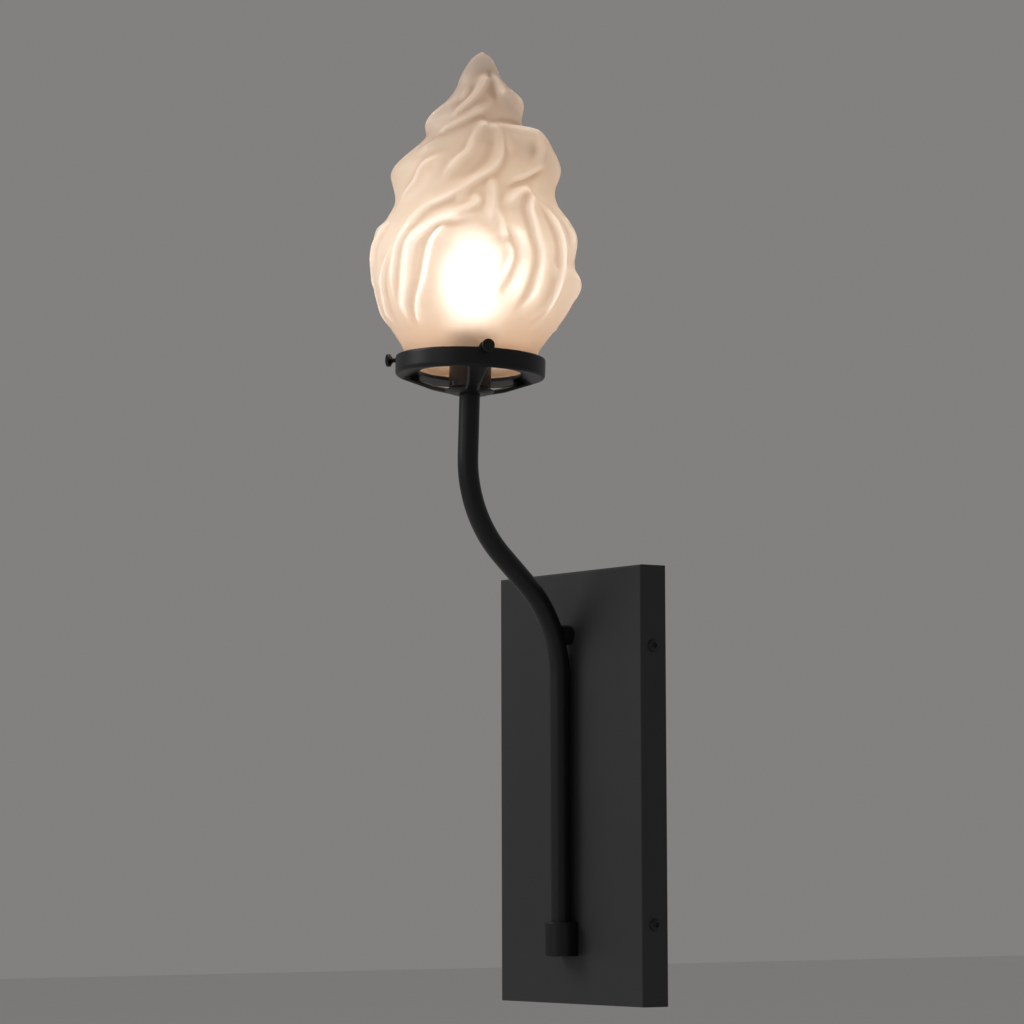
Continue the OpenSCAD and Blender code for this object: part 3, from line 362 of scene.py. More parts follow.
def turned_mesh(name, rows, steps, looped=False):
    """A form turned about +Z from rows of radius and height, from its foot outwards and up. A
    radius may be an array, with a value for each step round. A form that isn't looped has a face
    across each end."""
    turn = np.linspace(0, 2 * math.pi, steps, endpoint=False)
    radius = np.array([np.broadcast_to(r, steps) for r, _ in rows])
    height = np.array([np.full(steps, h) for _, h in rows])
    points = np.stack([radius * np.cos(turn), radius * np.sin(turn), height], -1).reshape(-1, 3)
    faces = ring_faces(len(rows), steps, looped)
    if not looped:
        foot, crown = range(steps), range(len(points) - steps, len(points))
        faces += [tuple(reversed(foot)), tuple(crown)]
    return mesh_from(name, points, faces)


def keep_values(mesh, name, values):
    """Keeps a number at each point of a mesh, for a finish to read."""
    layer = mesh.attributes.new(name, "FLOAT", "POINT")
    layer.data.foreach_set("value", np.asarray(values, np.float32))


def settle(piece):
    """Turns a piece and its modifiers into one plain mesh."""
    bpy.context.view_layer.update()
    depsgraph = bpy.context.evaluated_depsgraph_get()
    mesh = bpy.data.meshes.new_from_object(piece.evaluated_get(depsgraph))
    piece.modifiers.clear()
    piece.data = mesh
    shade_smooth(mesh)
    return mesh


# ------------------------------------------------------------------ the glass flame

# All in millimetres and degrees in the head's frame. The rule is the one that the solid follows: a
# bare form from neck to tip, folds whose crests run along smooth lines, and swellings where the
# outline bulges. Here the folds are more and crisper, and fine grooves run where one leaf of the
# flame lies over the next.
NECK_R, GLASS_T, FLAME_R = 41.25, 2.9, 60.0
GLASS_FOOT, NECK_TOP, FLAME_FOOT, FLAME_TOP = 4.6, 8.4, 12.2, 203.7
FLAME_H = FLAME_TOP - FLAME_FOOT
FLAME_TURN = 55.0
TIP_R = 0.8
TIP_SHIFT, TIP_SHIFT_FROM, TIP_SHIFT_OVER = 2.0, 175, 28  # the tip is drawn aside from this height
TIP_SLOPE = 1.8  # how steeply the bare form closes at the tip
BORE_SHARE, BORE_SWELL = 0.93, 0.3  # how far up the bore goes, and how it follows the swellings
# share of the height, share of the radius
FORM = [
    (0, 0.6875), (0.025, 0.695), (0.077, 0.793), (0.13, 0.894), (0.197, 0.956), (0.26, 0.985),
    (0.328, 1.0), (0.396, 0.955), (0.448, 0.88), (0.495, 0.795), (0.547, 0.75), (0.6, 0.735),
    (0.641, 0.675), (0.683, 0.575), (0.72, 0.475), (0.756, 0.41), (0.798, 0.37), (0.835, 0.295),
    (0.876, 0.225), (0.918, 0.195), (0.955, 0.148), (0.981, 0.095), (1, 0.004)]
# height, steep width, soft width, steep side (1 right, -1 left of the way up), fade at root and
# tip, and the crest's points: degrees round, height
FOLDS = [
    # lower body, from the left round to the right
    (2.0, 2.2, 4.0, 1, 12, 10, [(-86, 46), (-84, 58), (-80, 72), (-70, 86)]),
    (2.6, 1.8, 3.6, 1, 10, 12, [(-79, 60), (-76, 72), (-71, 84), (-63, 95)]),
    (2.8, 1.8, 3.8, 1, 10, 10, [(-72, 26), (-67, 40), (-64, 54), (-63, 62)]),
    (3.2, 1.8, 3.4, 1, 12, 12, [(-66, 44), (-60, 59), (-53, 68), (-48, 78)]),
    (5.0, 2.6, 6.5, 1, 15, 12, [
        (-51, 24), (-41, 48), (-38, 64), (-35, 75), (-26, 82), (-15, 87), (-1, 89)]),
    (4.6, 2.2, 11, -1, 15, 12, [(-40, 21), (-28, 47), (-24, 60), (-22, 70), (-19, 78), (-12, 84)]),
    (1.6, 2.2, 3.4, -1, 10, 8, [(15, 50), (19, 59), (21, 67), (18, 74)]),
    (4.4, 2.2, 7.0, -1, 14, 10, [
        (16, 38), (23, 48), (26, 57), (28, 65), (27, 73), (24, 80), (19, 85)]),
    (5.2, 2.2, 8.0, -1, 18, 5, [
        (29, 29), (36, 40), (39, 50), (41, 68), (38, 80), (37, 95), (40, 102), (46, 109)]),
    (4.0, 2.8, 5.5, -1, 14, 4, [(20, 93), (23, 100), (30, 106), (38, 110), (46, 109)]),
    (3.0, 2.2, 5.0, 1, 14, 10, [(40, 29), (50, 37), (55, 46), (57, 55), (54, 62), (50, 67)]),
    (4.6, 2.2, 9.0, -1, 18, 12, [
        (52, 23), (54, 37), (57, 49), (60, 66), (60, 80), (57, 90), (53, 104)]),
    (2.6, 2.4, 5.0, -1, 12, 10, [(80, 76), (74, 87), (69, 95), (70, 103)]),
    # the small leaf and the stem in the middle
    (2.8, 2.2, 4.5, 1, 10, 6, [(-15, 88), (-7, 92), (-1, 96), (2, 99), (0, 105)]),
    (2.4, 2.4, 3.6, -1, 8, 6, [(-12, 95), (-10, 101), (-7, 106), (-2, 110)]),
    (3.4, 3.2, 4.2, 1, 14, 10, [(10, 77), (11, 84), (10, 92), (12, 99), (13, 110), (11, 118)]),
    (2.6, 2.2, 3.2, 1, 7, 6, [(18, 72), (16, 84), (14, 91), (12, 98)]),
    # the tall leaf, its two rims
    (4.8, 2.6, 7.5, 1, 26, 5, [
        (-57, 33), (-51, 51), (-47, 65), (-43, 77), (-32, 95), (-17, 103), (0, 114), (16, 125),
        (22, 145), (16, 154)]),
    (5.8, 3.0, 6.0, -1, 18, 4, [
        (-26, 111), (-14, 124), (-5, 132), (-1, 142), (5, 150), (14, 154)]),
    # the shoulders beside it
    (4.0, 3.0, 6.0, -1, 20, 12, [
        (-67, 96), (-60, 106), (-49, 114), (-42, 124), (-32, 128), (-22, 130)]),
    (2.8, 2.4, 5.6, -1, 12, 8, [(-58, 131), (-51, 136), (-44, 139), (-42, 145)]),
    (2.4, 2.2, 5.0, -1, 12, 10, [(30, 127), (29, 136), (28, 145), (26, 152)]),
    (4.2, 2.4, 10, 1, 18, 10, [(20, 109), (29, 115), (43, 121), (53, 127), (62, 130)]),
    (4.2, 2.6, 5.0, -1, 16, 12, [(38, 123), (49, 128), (55, 135), (56, 143), (55, 149)]),
    # the top leaves
    (2.5, 3.0, 8.0, 1, 14, 10, [(-95, 148), (-80, 158), (-62, 165), (-38, 172), (-25, 180)]),
    (3.9, 2.4, 5.5, 1, 14, 10, [
        (-52, 143), (-46, 148), (-33, 151), (-20, 155), (-4, 160), (19, 167)]),
    (2.4, 2.2, 3.6, -1, 8, 6, [(-32, 165), (-26, 171), (-24, 176), (-18, 179)]),
    (4.4, 2.4, 4.0, -1, 18, 4, [
        (-46, 152), (-23, 162), (-8, 170), (4, 177), (15, 185), (25, 186)]),
    (4.2, 2.0, 4.0, 1, 3, 6, [(25, 186), (40, 184), (42, 177), (39, 171)])]
# folds on the left side only, between the front's leaves and the back's
SIDE_FOLDS = [
    (3.0, 2.2, 5.0, 1, 16, 14, [(-108, 26), (-105, 44), (-104, 62), (-102, 76), (-98, 88)]),
    (3.4, 2.2, 6.0, -1, 16, 14, [
        (-119, 24), (-113, 42), (-111, 58), (-112, 74), (-108, 90), (-104, 100)]),
    (3.0, 2.6, 6.0, 1, 14, 10, [(-126, 98), (-118, 112), (-112, 124), (-109, 134)])]
# depth, width, fade at root and tip, points of the groove's bottom
GROOVES = [
    (1.4, 2.0, 16, 8, [(-37, 40), (-31, 52), (-28, 65), (-26, 74), (-22, 80), (-18, 84)]),
    (0.8, 2.0, 14, 8, [(18, 41), (24, 51), (26, 58), (28, 66), (26, 74)]),
    (0.8, 2.0, 14, 12, [(33, 49), (37, 58), (40, 67), (39, 76), (36, 85), (34, 95)]),
    (1.4, 2.0, 10, 10, [(24, 109), (33, 114), (47, 119), (57, 124)]),
    (1.6, 3.6, 16, 8, [(-15, 111), (-2, 118), (7, 126), (12, 135), (14, 145)]),
    (2.0, 3.0, 5, 5, [(24, 180), (31, 176), (33, 170)])]
# degrees and height of the crown, then its height, width, reach up and reach down
SWELLS = [
    (-85, 68, 2, 40, 17, 29), (-88, 90, 3, 12, 3.5, 11), (-88, 125, 7.7, 22, 15, 14),
    (-85, 157, 5.2, 16, 10.5, 7), (88, 60.5, 7, 23, 7, 22), (88, 91, 6.3, 20, 20, 15.5),
    (85, 135.5, 10.2, 20, 15.5, 17), (62, 151, 12, 14, 3, 12), (46, 148, 2.2, 7, 5, 8),
    (85, 174, 10.4, 12, 9.3, 10), (0, 60, 3.4, 40, 30, 25), (180, 60, 3.4, 40, 30, 25)]
NARROWEST = 6.0  # the least radius on which a turn is measured
NECK_FADE_FROM, NECK_FADE_OVER, TIP_FADE_OVER, TIP_FADE_PAST = 14, 16, 10, 1.5
NEARNESS = 0.9  # how sharply the nearest stretch of a crest stands out, per mm
SIDE_BLEND = 1.2
FOLD_POWER = 2.4  # how distinctly one fold stays over its neighbour
FOLD_MARGIN, FOLD_REACH = 4.0, 3.2  # a fold is felt this far, and this many soft widths more
FOLD_END = 0.25  # what is left of a fold's height at its tip
SPINE_STEP = 2.2
FLANK = 1.25  # how hollow the flanks are
FLAME_COLS, FLAME_ROWS, BORE_ROWS = 352, 250, 22
# where the relief stands over or lies under the average round it, in mm, and the windows of the
# average in points of the grid: up and down, to each side, and to each side at the tip
CREST_FROM, CREST_OVER, HOLLOW_OVER = 0.15, 0.8, 0.7
CREST_WINDOW, HOLLOW_WINDOW = (4, 3, 11), (5, 4, 13)
WIDENS_FROM, WIDENS_OVER = 150, 35


def ease(t):
    t = np.clip(t, 0, 1)
    return t * t * (3 - 2 * t)


def half_turn(degrees):
    """The same direction, between -180 and 180 degrees."""
    return (degrees + 180) % 360 - 180


def form_radius(height):
    """Radius of the bare form, by a smooth curve through FORM."""
    share, radius = np.array(FORM).T
    radius = radius * FLAME_R
    s = np.clip((height - FLAME_FOOT) / FLAME_H, 0, 1)
    i = np.clip(np.searchsorted(share, s, side="right") - 1, 0, len(share) - 2)
    slope = np.zeros(len(share))
    slope[1:-1] = (radius[2:] - radius[:-2]) / (share[2:] - share[:-2])
    slope[-1] = TIP_SLOPE * (radius[-1] - radius[-2]) / (share[-1] - share[-2])
    h = share[i + 1] - share[i]
    t = (s - share[i]) / h
    return (
        (2 * t**3 - 3 * t**2 + 1) * radius[i] + (t**3 - 2 * t**2 + t) * h * slope[i]
        + (3 * t**2 - 2 * t**3) * radius[i + 1] + (t**3 - t**2) * h * slope[i + 1])


def per_degree(height):
    """Millimetres round the bare form for each degree of turn."""
    return np.radians(1) * np.maximum(form_radius(height), NARROWEST)


def end_fade(height):
    """1 on the body, fading to 0 at the neck and at the tip."""
    from_neck = ease((height - NECK_FADE_FROM) / NECK_FADE_OVER)
    return from_neck * ease((FLAME_TOP + TIP_FADE_PAST - height) / TIP_FADE_OVER)


def spine(points):
    """A smooth line that passes each of the points, in steps of about SPINE_STEP."""
    p = np.array(points, float)
    middle = form_radius((p[1:, 1] + p[:-1, 1]) / 2)
    length = np.hypot(np.radians(np.diff(p[:, 0])) * middle, np.diff(p[:, 1])).sum()
    steps = max(3, int(length / (len(p) - 1) / SPINE_STEP))
    ends = np.vstack([2 * p[0] - p[1], p, 2 * p[-1] - p[-2]])
    line = []
    for i in range(len(p) - 1):
        a, b, c, d = ends[i:i + 4]
        for t in np.arange(steps) / steps:
            bend = (2 * a - 5 * b + 4 * c - d) * t**2 + (3 * b - a - 3 * c + d) * t**3
            line.append(0.5 * (2 * b + (c - a) * t + bend))
    return np.array(line + [p[-1]])


def fold(turn, height, across, spec, shift):
    """One fold's rise over the bare form. Each point of the grid takes its distance from the crest,
    its side and its place along the crest from the stretches that are nearest to it."""
    rise, steep_width, soft_width, side, root_fade, tip_fade, points = spec
    line = spine(points) + (shift, 0)
    out = np.zeros_like(turn)
    reach = FOLD_MARGIN + FOLD_REACH * soft_width
    low, high = line[:, 1].min() - reach, line[:, 1].max() + reach
    rows = np.nonzero((height[:, 0] > low) & (height[:, 0] < high))[0]
    if not len(rows):
        return out
    band = slice(rows[0], rows[-1] + 1)
    a, z, k = turn[band], height[band], across[band]
    weight, sided, along = np.zeros_like(a), np.zeros_like(a), np.zeros_like(a)
    middles = form_radius((line[1:, 1] + line[:-1, 1]) / 2)
    run = 0.0
    for p, q, middle in zip(line, line[1:], middles):
        step = math.hypot(math.radians(q[0] - p[0]) * middle, q[1] - p[1])
        dx, dz = (q[0] - p[0]) * k, q[1] - p[1]
        px, pz = half_turn(a - p[0]) * k, z - p[1]
        square = dx * dx + dz * dz
        t = np.clip((px * dx + pz * dz) / square, 0, 1)
        w = step * np.exp(-NEARNESS * np.hypot(px - t * dx, pz - t * dz))
        weight += w
        sided += w * (dz * px - dx * pz) / np.sqrt(square)
        along += w * (run + t * step)
        run += step
    weight = np.maximum(weight, 1e-30)  # keeps the logarithm finite far from the crest
    # a straight crest at this distance would give the same weight
    away = np.maximum(np.log(2 / NEARNESS / weight) / NEARNESS, 0)
    sided, along = sided / weight, along / weight
    steep = 0.5 + 0.5 * side * sided / np.sqrt(sided**2 + SIDE_BLEND**2)
    flank = np.exp(-FLANK * away / (steep_width * steep + soft_width * (1 - steep)))
    to_tip = FOLD_END + (1 - FOLD_END) * ease((run - along) / tip_fade)
    out[band] = rise * ease(along / root_fade) * to_tip * flank
    return out


def swell_rise(turn, height):
    across = per_degree(height)
    out = np.zeros_like(turn)
    for a, z, rise, width, up, down in SWELLS:
        aside, above = half_turn(turn - a) * across / width, height - z
        out += rise * np.exp(-aside**2 - (above / np.where(above > 0, up, down))**2)
    return out * end_fade(height)


def fold_rise(turn, height):
    """The folds and grooves, which the back repeats half a turn round."""
    across = per_degree(height)
    folds, grooves = np.zeros_like(turn), np.zeros_like(turn)
    for half, leaves in ((0, FOLDS + SIDE_FOLDS), (180, FOLDS)):
        for spec in leaves:
            folds += fold(turn, height, across, spec, half)**FOLD_POWER
        for depth, width, root_fade, tip_fade, points in GROOVES:
            spec = (depth, width, width, 1, root_fade, tip_fade, points)
            grooves += fold(turn, height, across, spec, half)
    return (folds**(1 / FOLD_POWER) - grooves) * end_fade(height)


def blurred(field, rows, cols):
    """A field on the shade's grid, averaged over a window that wraps round it."""
    height = np.arange(len(field))
    for axis, reach in enumerate((rows, cols)):
        total = np.zeros_like(field)
        for step in range(-reach, reach + 1):
            if axis:
                total += np.roll(field, step, axis)
            else:
                total += field[np.clip(height + step, 0, len(field) - 1)]
        field = total / (2 * reach + 1)
    return field


def lit_fields(relief, height):
    """Where the finish finds crests, hollows and the way up, for each point of the shade's grid."""
    # the columns draw together at the tip, so the average takes in more of them there
    tip = ease((height - WIDENS_FROM) / WIDENS_OVER)

    def average(rows, cols, tip_cols):
        return blurred(relief, rows, cols) * (1 - tip) + blurred(relief, rows, tip_cols) * tip

    even = blurred(relief, 1, 1)
    return {
        "crest": np.clip((even - average(*CREST_WINDOW) - CREST_FROM) / CREST_OVER, 0, 1),
        "hollow": np.clip((average(*HOLLOW_WINDOW) - even) / HOLLOW_OVER, 0, 1),
        "rise": (height - FLAME_FOOT) / FLAME_H}


def make_flame(finish):
    """The glass flame in one closed shell: the bore downwards, the neck's foot, and the outside."""
    turn_row = np.linspace(-180, 180, FLAME_COLS, endpoint=False)

    def placed(turn, radius, height):
        """Points of the head's frame, drawn aside towards the tip."""
        a, aside = np.radians(turn + FLAME_TURN), math.radians(FLAME_TURN)
        shift = TIP_SHIFT * ease((height - TIP_SHIFT_FROM) / TIP_SHIFT_OVER)
        return np.stack([
            radius * np.sin(a) + shift * math.cos(aside),
            -radius * np.cos(a) + shift * math.sin(aside),
            height], -1)

    def ring(radius, height):
        return placed(turn_row, np.full(FLAME_COLS, radius), np.full(FLAME_COLS, height))[None]

    turn, height = np.meshgrid(turn_row, np.linspace(FLAME_FOOT, FLAME_TOP, FLAME_ROWS))
    relief = swell_rise(turn, height) + fold_rise(turn, height)
    outside = placed(turn, np.maximum(form_radius(height) + relief, TIP_R), height)
    bore_top = FLAME_FOOT + BORE_SHARE * FLAME_H
    bore_turn, bore_height = np.meshgrid(turn_row, np.linspace(bore_top, FLAME_FOOT, BORE_ROWS))
    bore_swell = BORE_SWELL * swell_rise(bore_turn, bore_height)
    bore = placed(bore_turn, form_radius(bore_height) - GLASS_T + bore_swell, bore_height)
    layers = [
        bore, ring(NECK_R - GLASS_T, GLASS_FOOT), ring(NECK_R, GLASS_FOOT), ring(NECK_R, NECK_TOP),
        outside]
    points = np.concatenate([layer.reshape(-1, 3) for layer in layers])
    count, last = len(points), len(points) - FLAME_COLS
    poles = [bore[0].mean(0), outside[-1].mean(0)]
    faces = ring_faces(count // FLAME_COLS, FLAME_COLS)
    faces += [(count, (j + 1) % FLAME_COLS, j) for j in range(FLAME_COLS)]
    faces += [(count + 1, last + j, last + (j + 1) % FLAME_COLS) for j in range(FLAME_COLS)]
    mesh = mesh_from("flame_glass", np.vstack([points, *poles]), faces)
    mesh.transform(HEAD_MM)
    for name, field in lit_fields(relief, height).items():
        values = np.zeros(count + len(poles))
        values[count - field.size:count] = field.ravel()
        if name == "rise":
            values[:bore_height.size] = ((bore_height - FLAME_FOOT) / FLAME_H).ravel()
            values[count:] = BORE_SHARE, 1.0
        keep_values(mesh, name, values)
    flame = new_object("flame_glass", mesh, finish)
    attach(flame, "shade")
    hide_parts("glass_shade")


# ------------------------------------------------------------------ the gallery casting

FILLET_GRAIN = 0.5  # spacing of the casting's surface points, mm
FILLET_PASSES = 14
RING_R, RING_H, RIM_EDGE = 46.0, 12.2, 1.2
CAST_STEPS = 96
# radius and height round forms that the solid leaves out: a shallow dish under the hub, and the
# ramp under the floor
SAUCER = [
    (0.01, -10.6), (8.5, -10.6), (12.0, -10.1), (14.2, -9.2), (15.4, -8.2), (15.2, -7.7),
    (0.01, -7.7)]
UNDER_FLOOR = [(31.2, 2.9), (31.7, 2.3), (38.0, 1.0), (44.6, 0.2), (44.6, 3.2), (31.2, 3.2)]


def make_gallery(finish):
    """The ring, floor, arms and hub as one casting, whose inner corners are run into fillets."""
    cast = bmesh.new()
    cast.from_mesh(NODES["gallery"].data)
    bmesh.ops.remove_doubles(cast, verts=cast.verts, dist=MERGE)
    for profile in (SAUCER, UNDER_FLOOR):
        added = turned_mesh("added", profile, CAST_STEPS, looped=True)
        added.transform(HEAD_MM)
        cast.from_mesh(added)
    rough = bpy.data.meshes.new("gallery_casting")
    cast.to_mesh(rough)
    cast.free()
    casting = new_object("gallery_casting", rough, finish)
    grain = casting.modifiers.new("grain", "REMESH")
    grain.mode, grain.voxel_size = "VOXEL", FILLET_GRAIN * MM
    fillets = casting.modifiers.new("fillets", "SMOOTH")
    fillets.factor, fillets.iterations = 0.5, FILLET_PASSES
    mesh = settle(casting)
    x, y, z = head_places(mesh).T
    from_rims = np.minimum(*[np.hypot(np.hypot(x, y) - RING_R, z - h) for h in (RING_H, 0)])
    # the rims' edge band, which the finish lightens as rubbed wear and as a painted highlight
    keep_values(mesh, "edge", np.exp(-(from_rims / RIM_EDGE)**2))
    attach(casting, "root")
    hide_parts("gallery")


# ------------------------------------------------------------------ swept and repeated pieces


class Pattern(Graph):
    """A geometry tree with named sizes, which is run once and leaves a plain mesh."""

    def __init__(self, name, sizes):
        tree = bpy.data.node_groups.new(name, "GeometryNodeTree")
        sockets = tree.interface
        sockets.new_socket("Geometry", in_out="INPUT", socket_type="NodeSocketGeometry")
        for label in sizes:
            sockets.new_socket(label, in_out="INPUT", socket_type="NodeSocketFloat")
        sockets.new_socket("Geometry", in_out="OUTPUT", socket_type="NodeSocketGeometry")
        super().__init__(tree)
        self.name, self.sizes = name, sizes
        self.source = self.node("NodeGroupInput")

    def size(self, label):
        return Value(self, self.source.outputs[label])

    def joined(self, **parts):
        """A vector from its X, Y and Z, of which those left out are 0."""
        return self.out("ShaderNodeCombineXYZ", None, parts)

    def run(self, geometry, finish):
        """Ends the tree, applies it to an empty mesh and gives the finished piece."""
        whole = self.out("GeometryNodeRealizeInstances", None, {0: geometry})
        dressed = self.out("GeometryNodeSetMaterial", None, {"Geometry": whole, "Material": finish})
        self.node("NodeGroupOutput", None, {0: dressed})
        piece = new_object(self.name, bpy.data.meshes.new(self.name), finish)
        modifier = piece.modifiers.new("pattern", "NODES")
        modifier.node_group = self.tree
        for item in self.tree.interface.items_tree:
            if item.in_out == "INPUT" and item.name in self.sizes:
                modifier[item.identifier] = float(self.sizes[item.name])
        settle(piece)
        return piece


PLATE_DEPTH, PLATE_WIDTH = 19.0, 148.0
TUBE_R, TUBE_GAP = 6.35, 0.6
TUBE_FOOT, BEND_START = -95.8, 67.6
BEND_R, BEND_ANGLE, BETWEEN_BENDS = 77.0, math.radians(47.4), 25.4
TUBE_IN_HUB = 0.5  # how far the tube goes up into the hub's dish
TUBE_STEPS, TUBE_SIDES = 220, 56


def make_arm(finish):
    """The swan-neck tube, swept along a straight, a bend out, a short straight, a bend back and a
    straight."""
    foot_to_bend = BEND_START - TUBE_FOOT
    head_foot = (HEAD_MM @ Vector((0, 0, SAUCER[0][1]))).z / MM
    rise = (
        foot_to_bend + 2 * BEND_R * math.sin(BEND_ANGLE) + BETWEEN_BENDS * math.cos(BEND_ANGLE)
        + BEND_R * math.sin(LEAN))
    top = (head_foot - TUBE_FOOT - rise) / math.cos(LEAN) + TUBE_IN_HUB
    g = Pattern("swan_neck_tube", {
        "Tube radius": TUBE_R * MM, "Bend radius": BEND_R * MM,
        "Bend angle": BEND_ANGLE, "Lean": LEAN,
        "Lower straight": foot_to_bend * MM, "Middle straight": BETWEEN_BENDS * MM,
        "Upper straight": top * MM,
        "From wall": (PLATE_DEPTH + TUBE_GAP + TUBE_R) * MM, "Foot height": TUBE_FOOT * MM})
    lower, middle, upper = (g.size(part + " straight") for part in ("Lower", "Middle", "Upper"))
    radius, angle, lean = g.size("Bend radius"), g.size("Bend angle"), g.size("Lean")
    back = angle + lean
    along = g.out("GeometryNodeSplineParameter", output="Length")

    def stretch(start, reach):
        """How far the path has run in the stretch that starts here, from 0 to its reach."""
        return g.maths("MINIMUM", g.maths("MAXIMUM", along - start, 0.0), reach)

    def sine(value):
        return g.maths("SINE", value)

    def cosine(value):
        return g.maths("COSINE", value)

    first_end = lower + radius * angle
    second_start = first_end + middle
    first = stretch(lower, radius * angle) / radius
    straight = stretch(first_end, middle)
    second = stretch(second_start, radius * back) / radius
    last = stretch(second_start + radius * back, upper)
    out = (
        radius * (1 - cosine(first)) + straight * sine(angle)
        + radius * (cosine(angle - second) - cosine(angle)) - last * sine(lean))
    up = (
        stretch(0.0, lower) + radius * sine(first) + straight * cosine(angle)
        + radius * (sine(angle) - sine(angle - second)) + last * cosine(lean))
    length = lower + middle + upper + radius * (angle + back)
    line = g.out("GeometryNodeCurvePrimitiveLine", None, {"End": g.joined(Z=length)})
    fine = g.out("GeometryNodeResampleCurve", None, {"Curve": line, "Count": TUBE_STEPS})
    path = g.out("GeometryNodeSetPosition", None, {
        "Geometry": fine,
        "Position": g.joined(Y=-1 * (g.size("From wall") + out), Z=g.size("Foot height") + up)})
    section = g.out("GeometryNodeCurvePrimitiveCircle", None, {
        "Resolution": TUBE_SIDES, "Radius": g.size("Tube radius")})
    tube = g.out("GeometryNodeCurveToMesh", None, {
        "Curve": path, "Profile Curve": section, "Fill Caps": True})
    arm = g.run(tube, finish)
    shell = bmesh.new()
    shell.from_mesh(arm.data)
    bmesh.ops.remove_doubles(shell, verts=shell.verts, dist=MERGE)
    bmesh.ops.recalc_face_normals(shell, faces=shell.faces)
    shell.to_mesh(arm.data)
    shell.free()
    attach(arm, "root")
    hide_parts("arm_tube")


SIDE_SCREW_HEIGHT = 84.0
HEAD_R, HEAD_H, HEAD_STEPS = 3.8, 2.2, 48
DOME_RISE, DOME_FROM, DOME_TO = 2.0, 0.62, 1.45  # an oval's height, and its turn from the top
SOCKET_FLAT, SOCKET_DEPTH = 1.25, 1.4
SHAFT_R, SHAFT_L = 1.95, 5.0


def button_screw(finish):
    """A button-head screw with a hexagon socket, its seat on z = 0."""
    turn = np.linspace(0, 2 * math.pi, HEAD_STEPS, endpoint=False)
    sixth = math.pi / 3
    hexagon = SOCKET_FLAT / np.cos((turn + sixth / 2) % sixth - sixth / 2)
    socket_floor = HEAD_H - SOCKET_DEPTH
    rows = [
        (0.05, -SHAFT_L), (SHAFT_R, -SHAFT_L), (SHAFT_R, 0),
        (HEAD_R - 0.15, 0), (HEAD_R, 0.1), (HEAD_R, 0.35)]
    rows += [
        (HEAD_R * math.sin(a), HEAD_H - DOME_RISE * (1 - math.cos(a)))
        for a in np.linspace(DOME_TO, DOME_FROM, 7)]
    rows += [
        (hexagon + 0.2, HEAD_H - 0.25), (hexagon, HEAD_H - 0.42), (hexagon, socket_floor),
        (hexagon - 0.25, socket_floor - 0.1), (0.2, socket_floor - 0.5)]
    mesh = turned_mesh("side_screw", rows, HEAD_STEPS)
    mesh.transform(Matrix.Scale(MM, 4))
    return new_object("side_screw", mesh, finish)


def make_side_screws(finish):
    """The cover's four side screws, one on each corner of a grid, standing out from its sides."""
    screw = button_screw(finish)
    g = Pattern("side_button_screws", {
        "Cover width": PLATE_WIDTH * MM, "Spacing": 2 * SIDE_SCREW_HEIGHT * MM,
        "From wall": PLATE_DEPTH / 2 * MM})
    grid = g.out("GeometryNodeMeshGrid", None, {
        "Size X": g.size("Cover width"), "Size Y": g.size("Spacing"),
        "Vertices X": 2, "Vertices Y": 2})
    corner = g.node("ShaderNodeSeparateXYZ", None, {0: g.out("GeometryNodeInputPosition")})
    across, up = Value(g, corner.outputs["X"]), Value(g, corner.outputs["Y"])
    stood = g.out("GeometryNodeSetPosition", None, {
        "Geometry": grid, "Position": g.joined(X=across, Y=-1 * g.size("From wall"), Z=up)})
    facing = g.out("FunctionNodeAlignRotationToVector", {"axis": "Z"}, {
        "Vector": g.joined(X=across)})
    shape = g.out("GeometryNodeObjectInfo", None, {"Object": screw}, "Geometry")
    placed = g.out("GeometryNodeInstanceOnPoints", None, {
        "Points": stood, "Instance": shape, "Rotation": facing})
    screws = g.run(placed, finish)
    bpy.data.objects.remove(screw)
    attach(screws, "root")
    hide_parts("side_screws")


# ------------------------------------------------------------------ thumbscrews

SHANK_R, THREAD_DEPTH, PITCH = 1.45, 0.28, 0.5
SHANK_START, KNOB_REACH = 42.4, 54.6  # from the head's axis
KNOB_R, KNOB_T, KNOB_CONE, KNOB_STEP = 3.9, 2.2, 1.7, 0.6
KNOB_EDGE = 0.55  # the band's width, lightened as rubbed wear and as a painted highlight
SCREW_HEIGHT, SCREW_STEPS = 11.9, 40


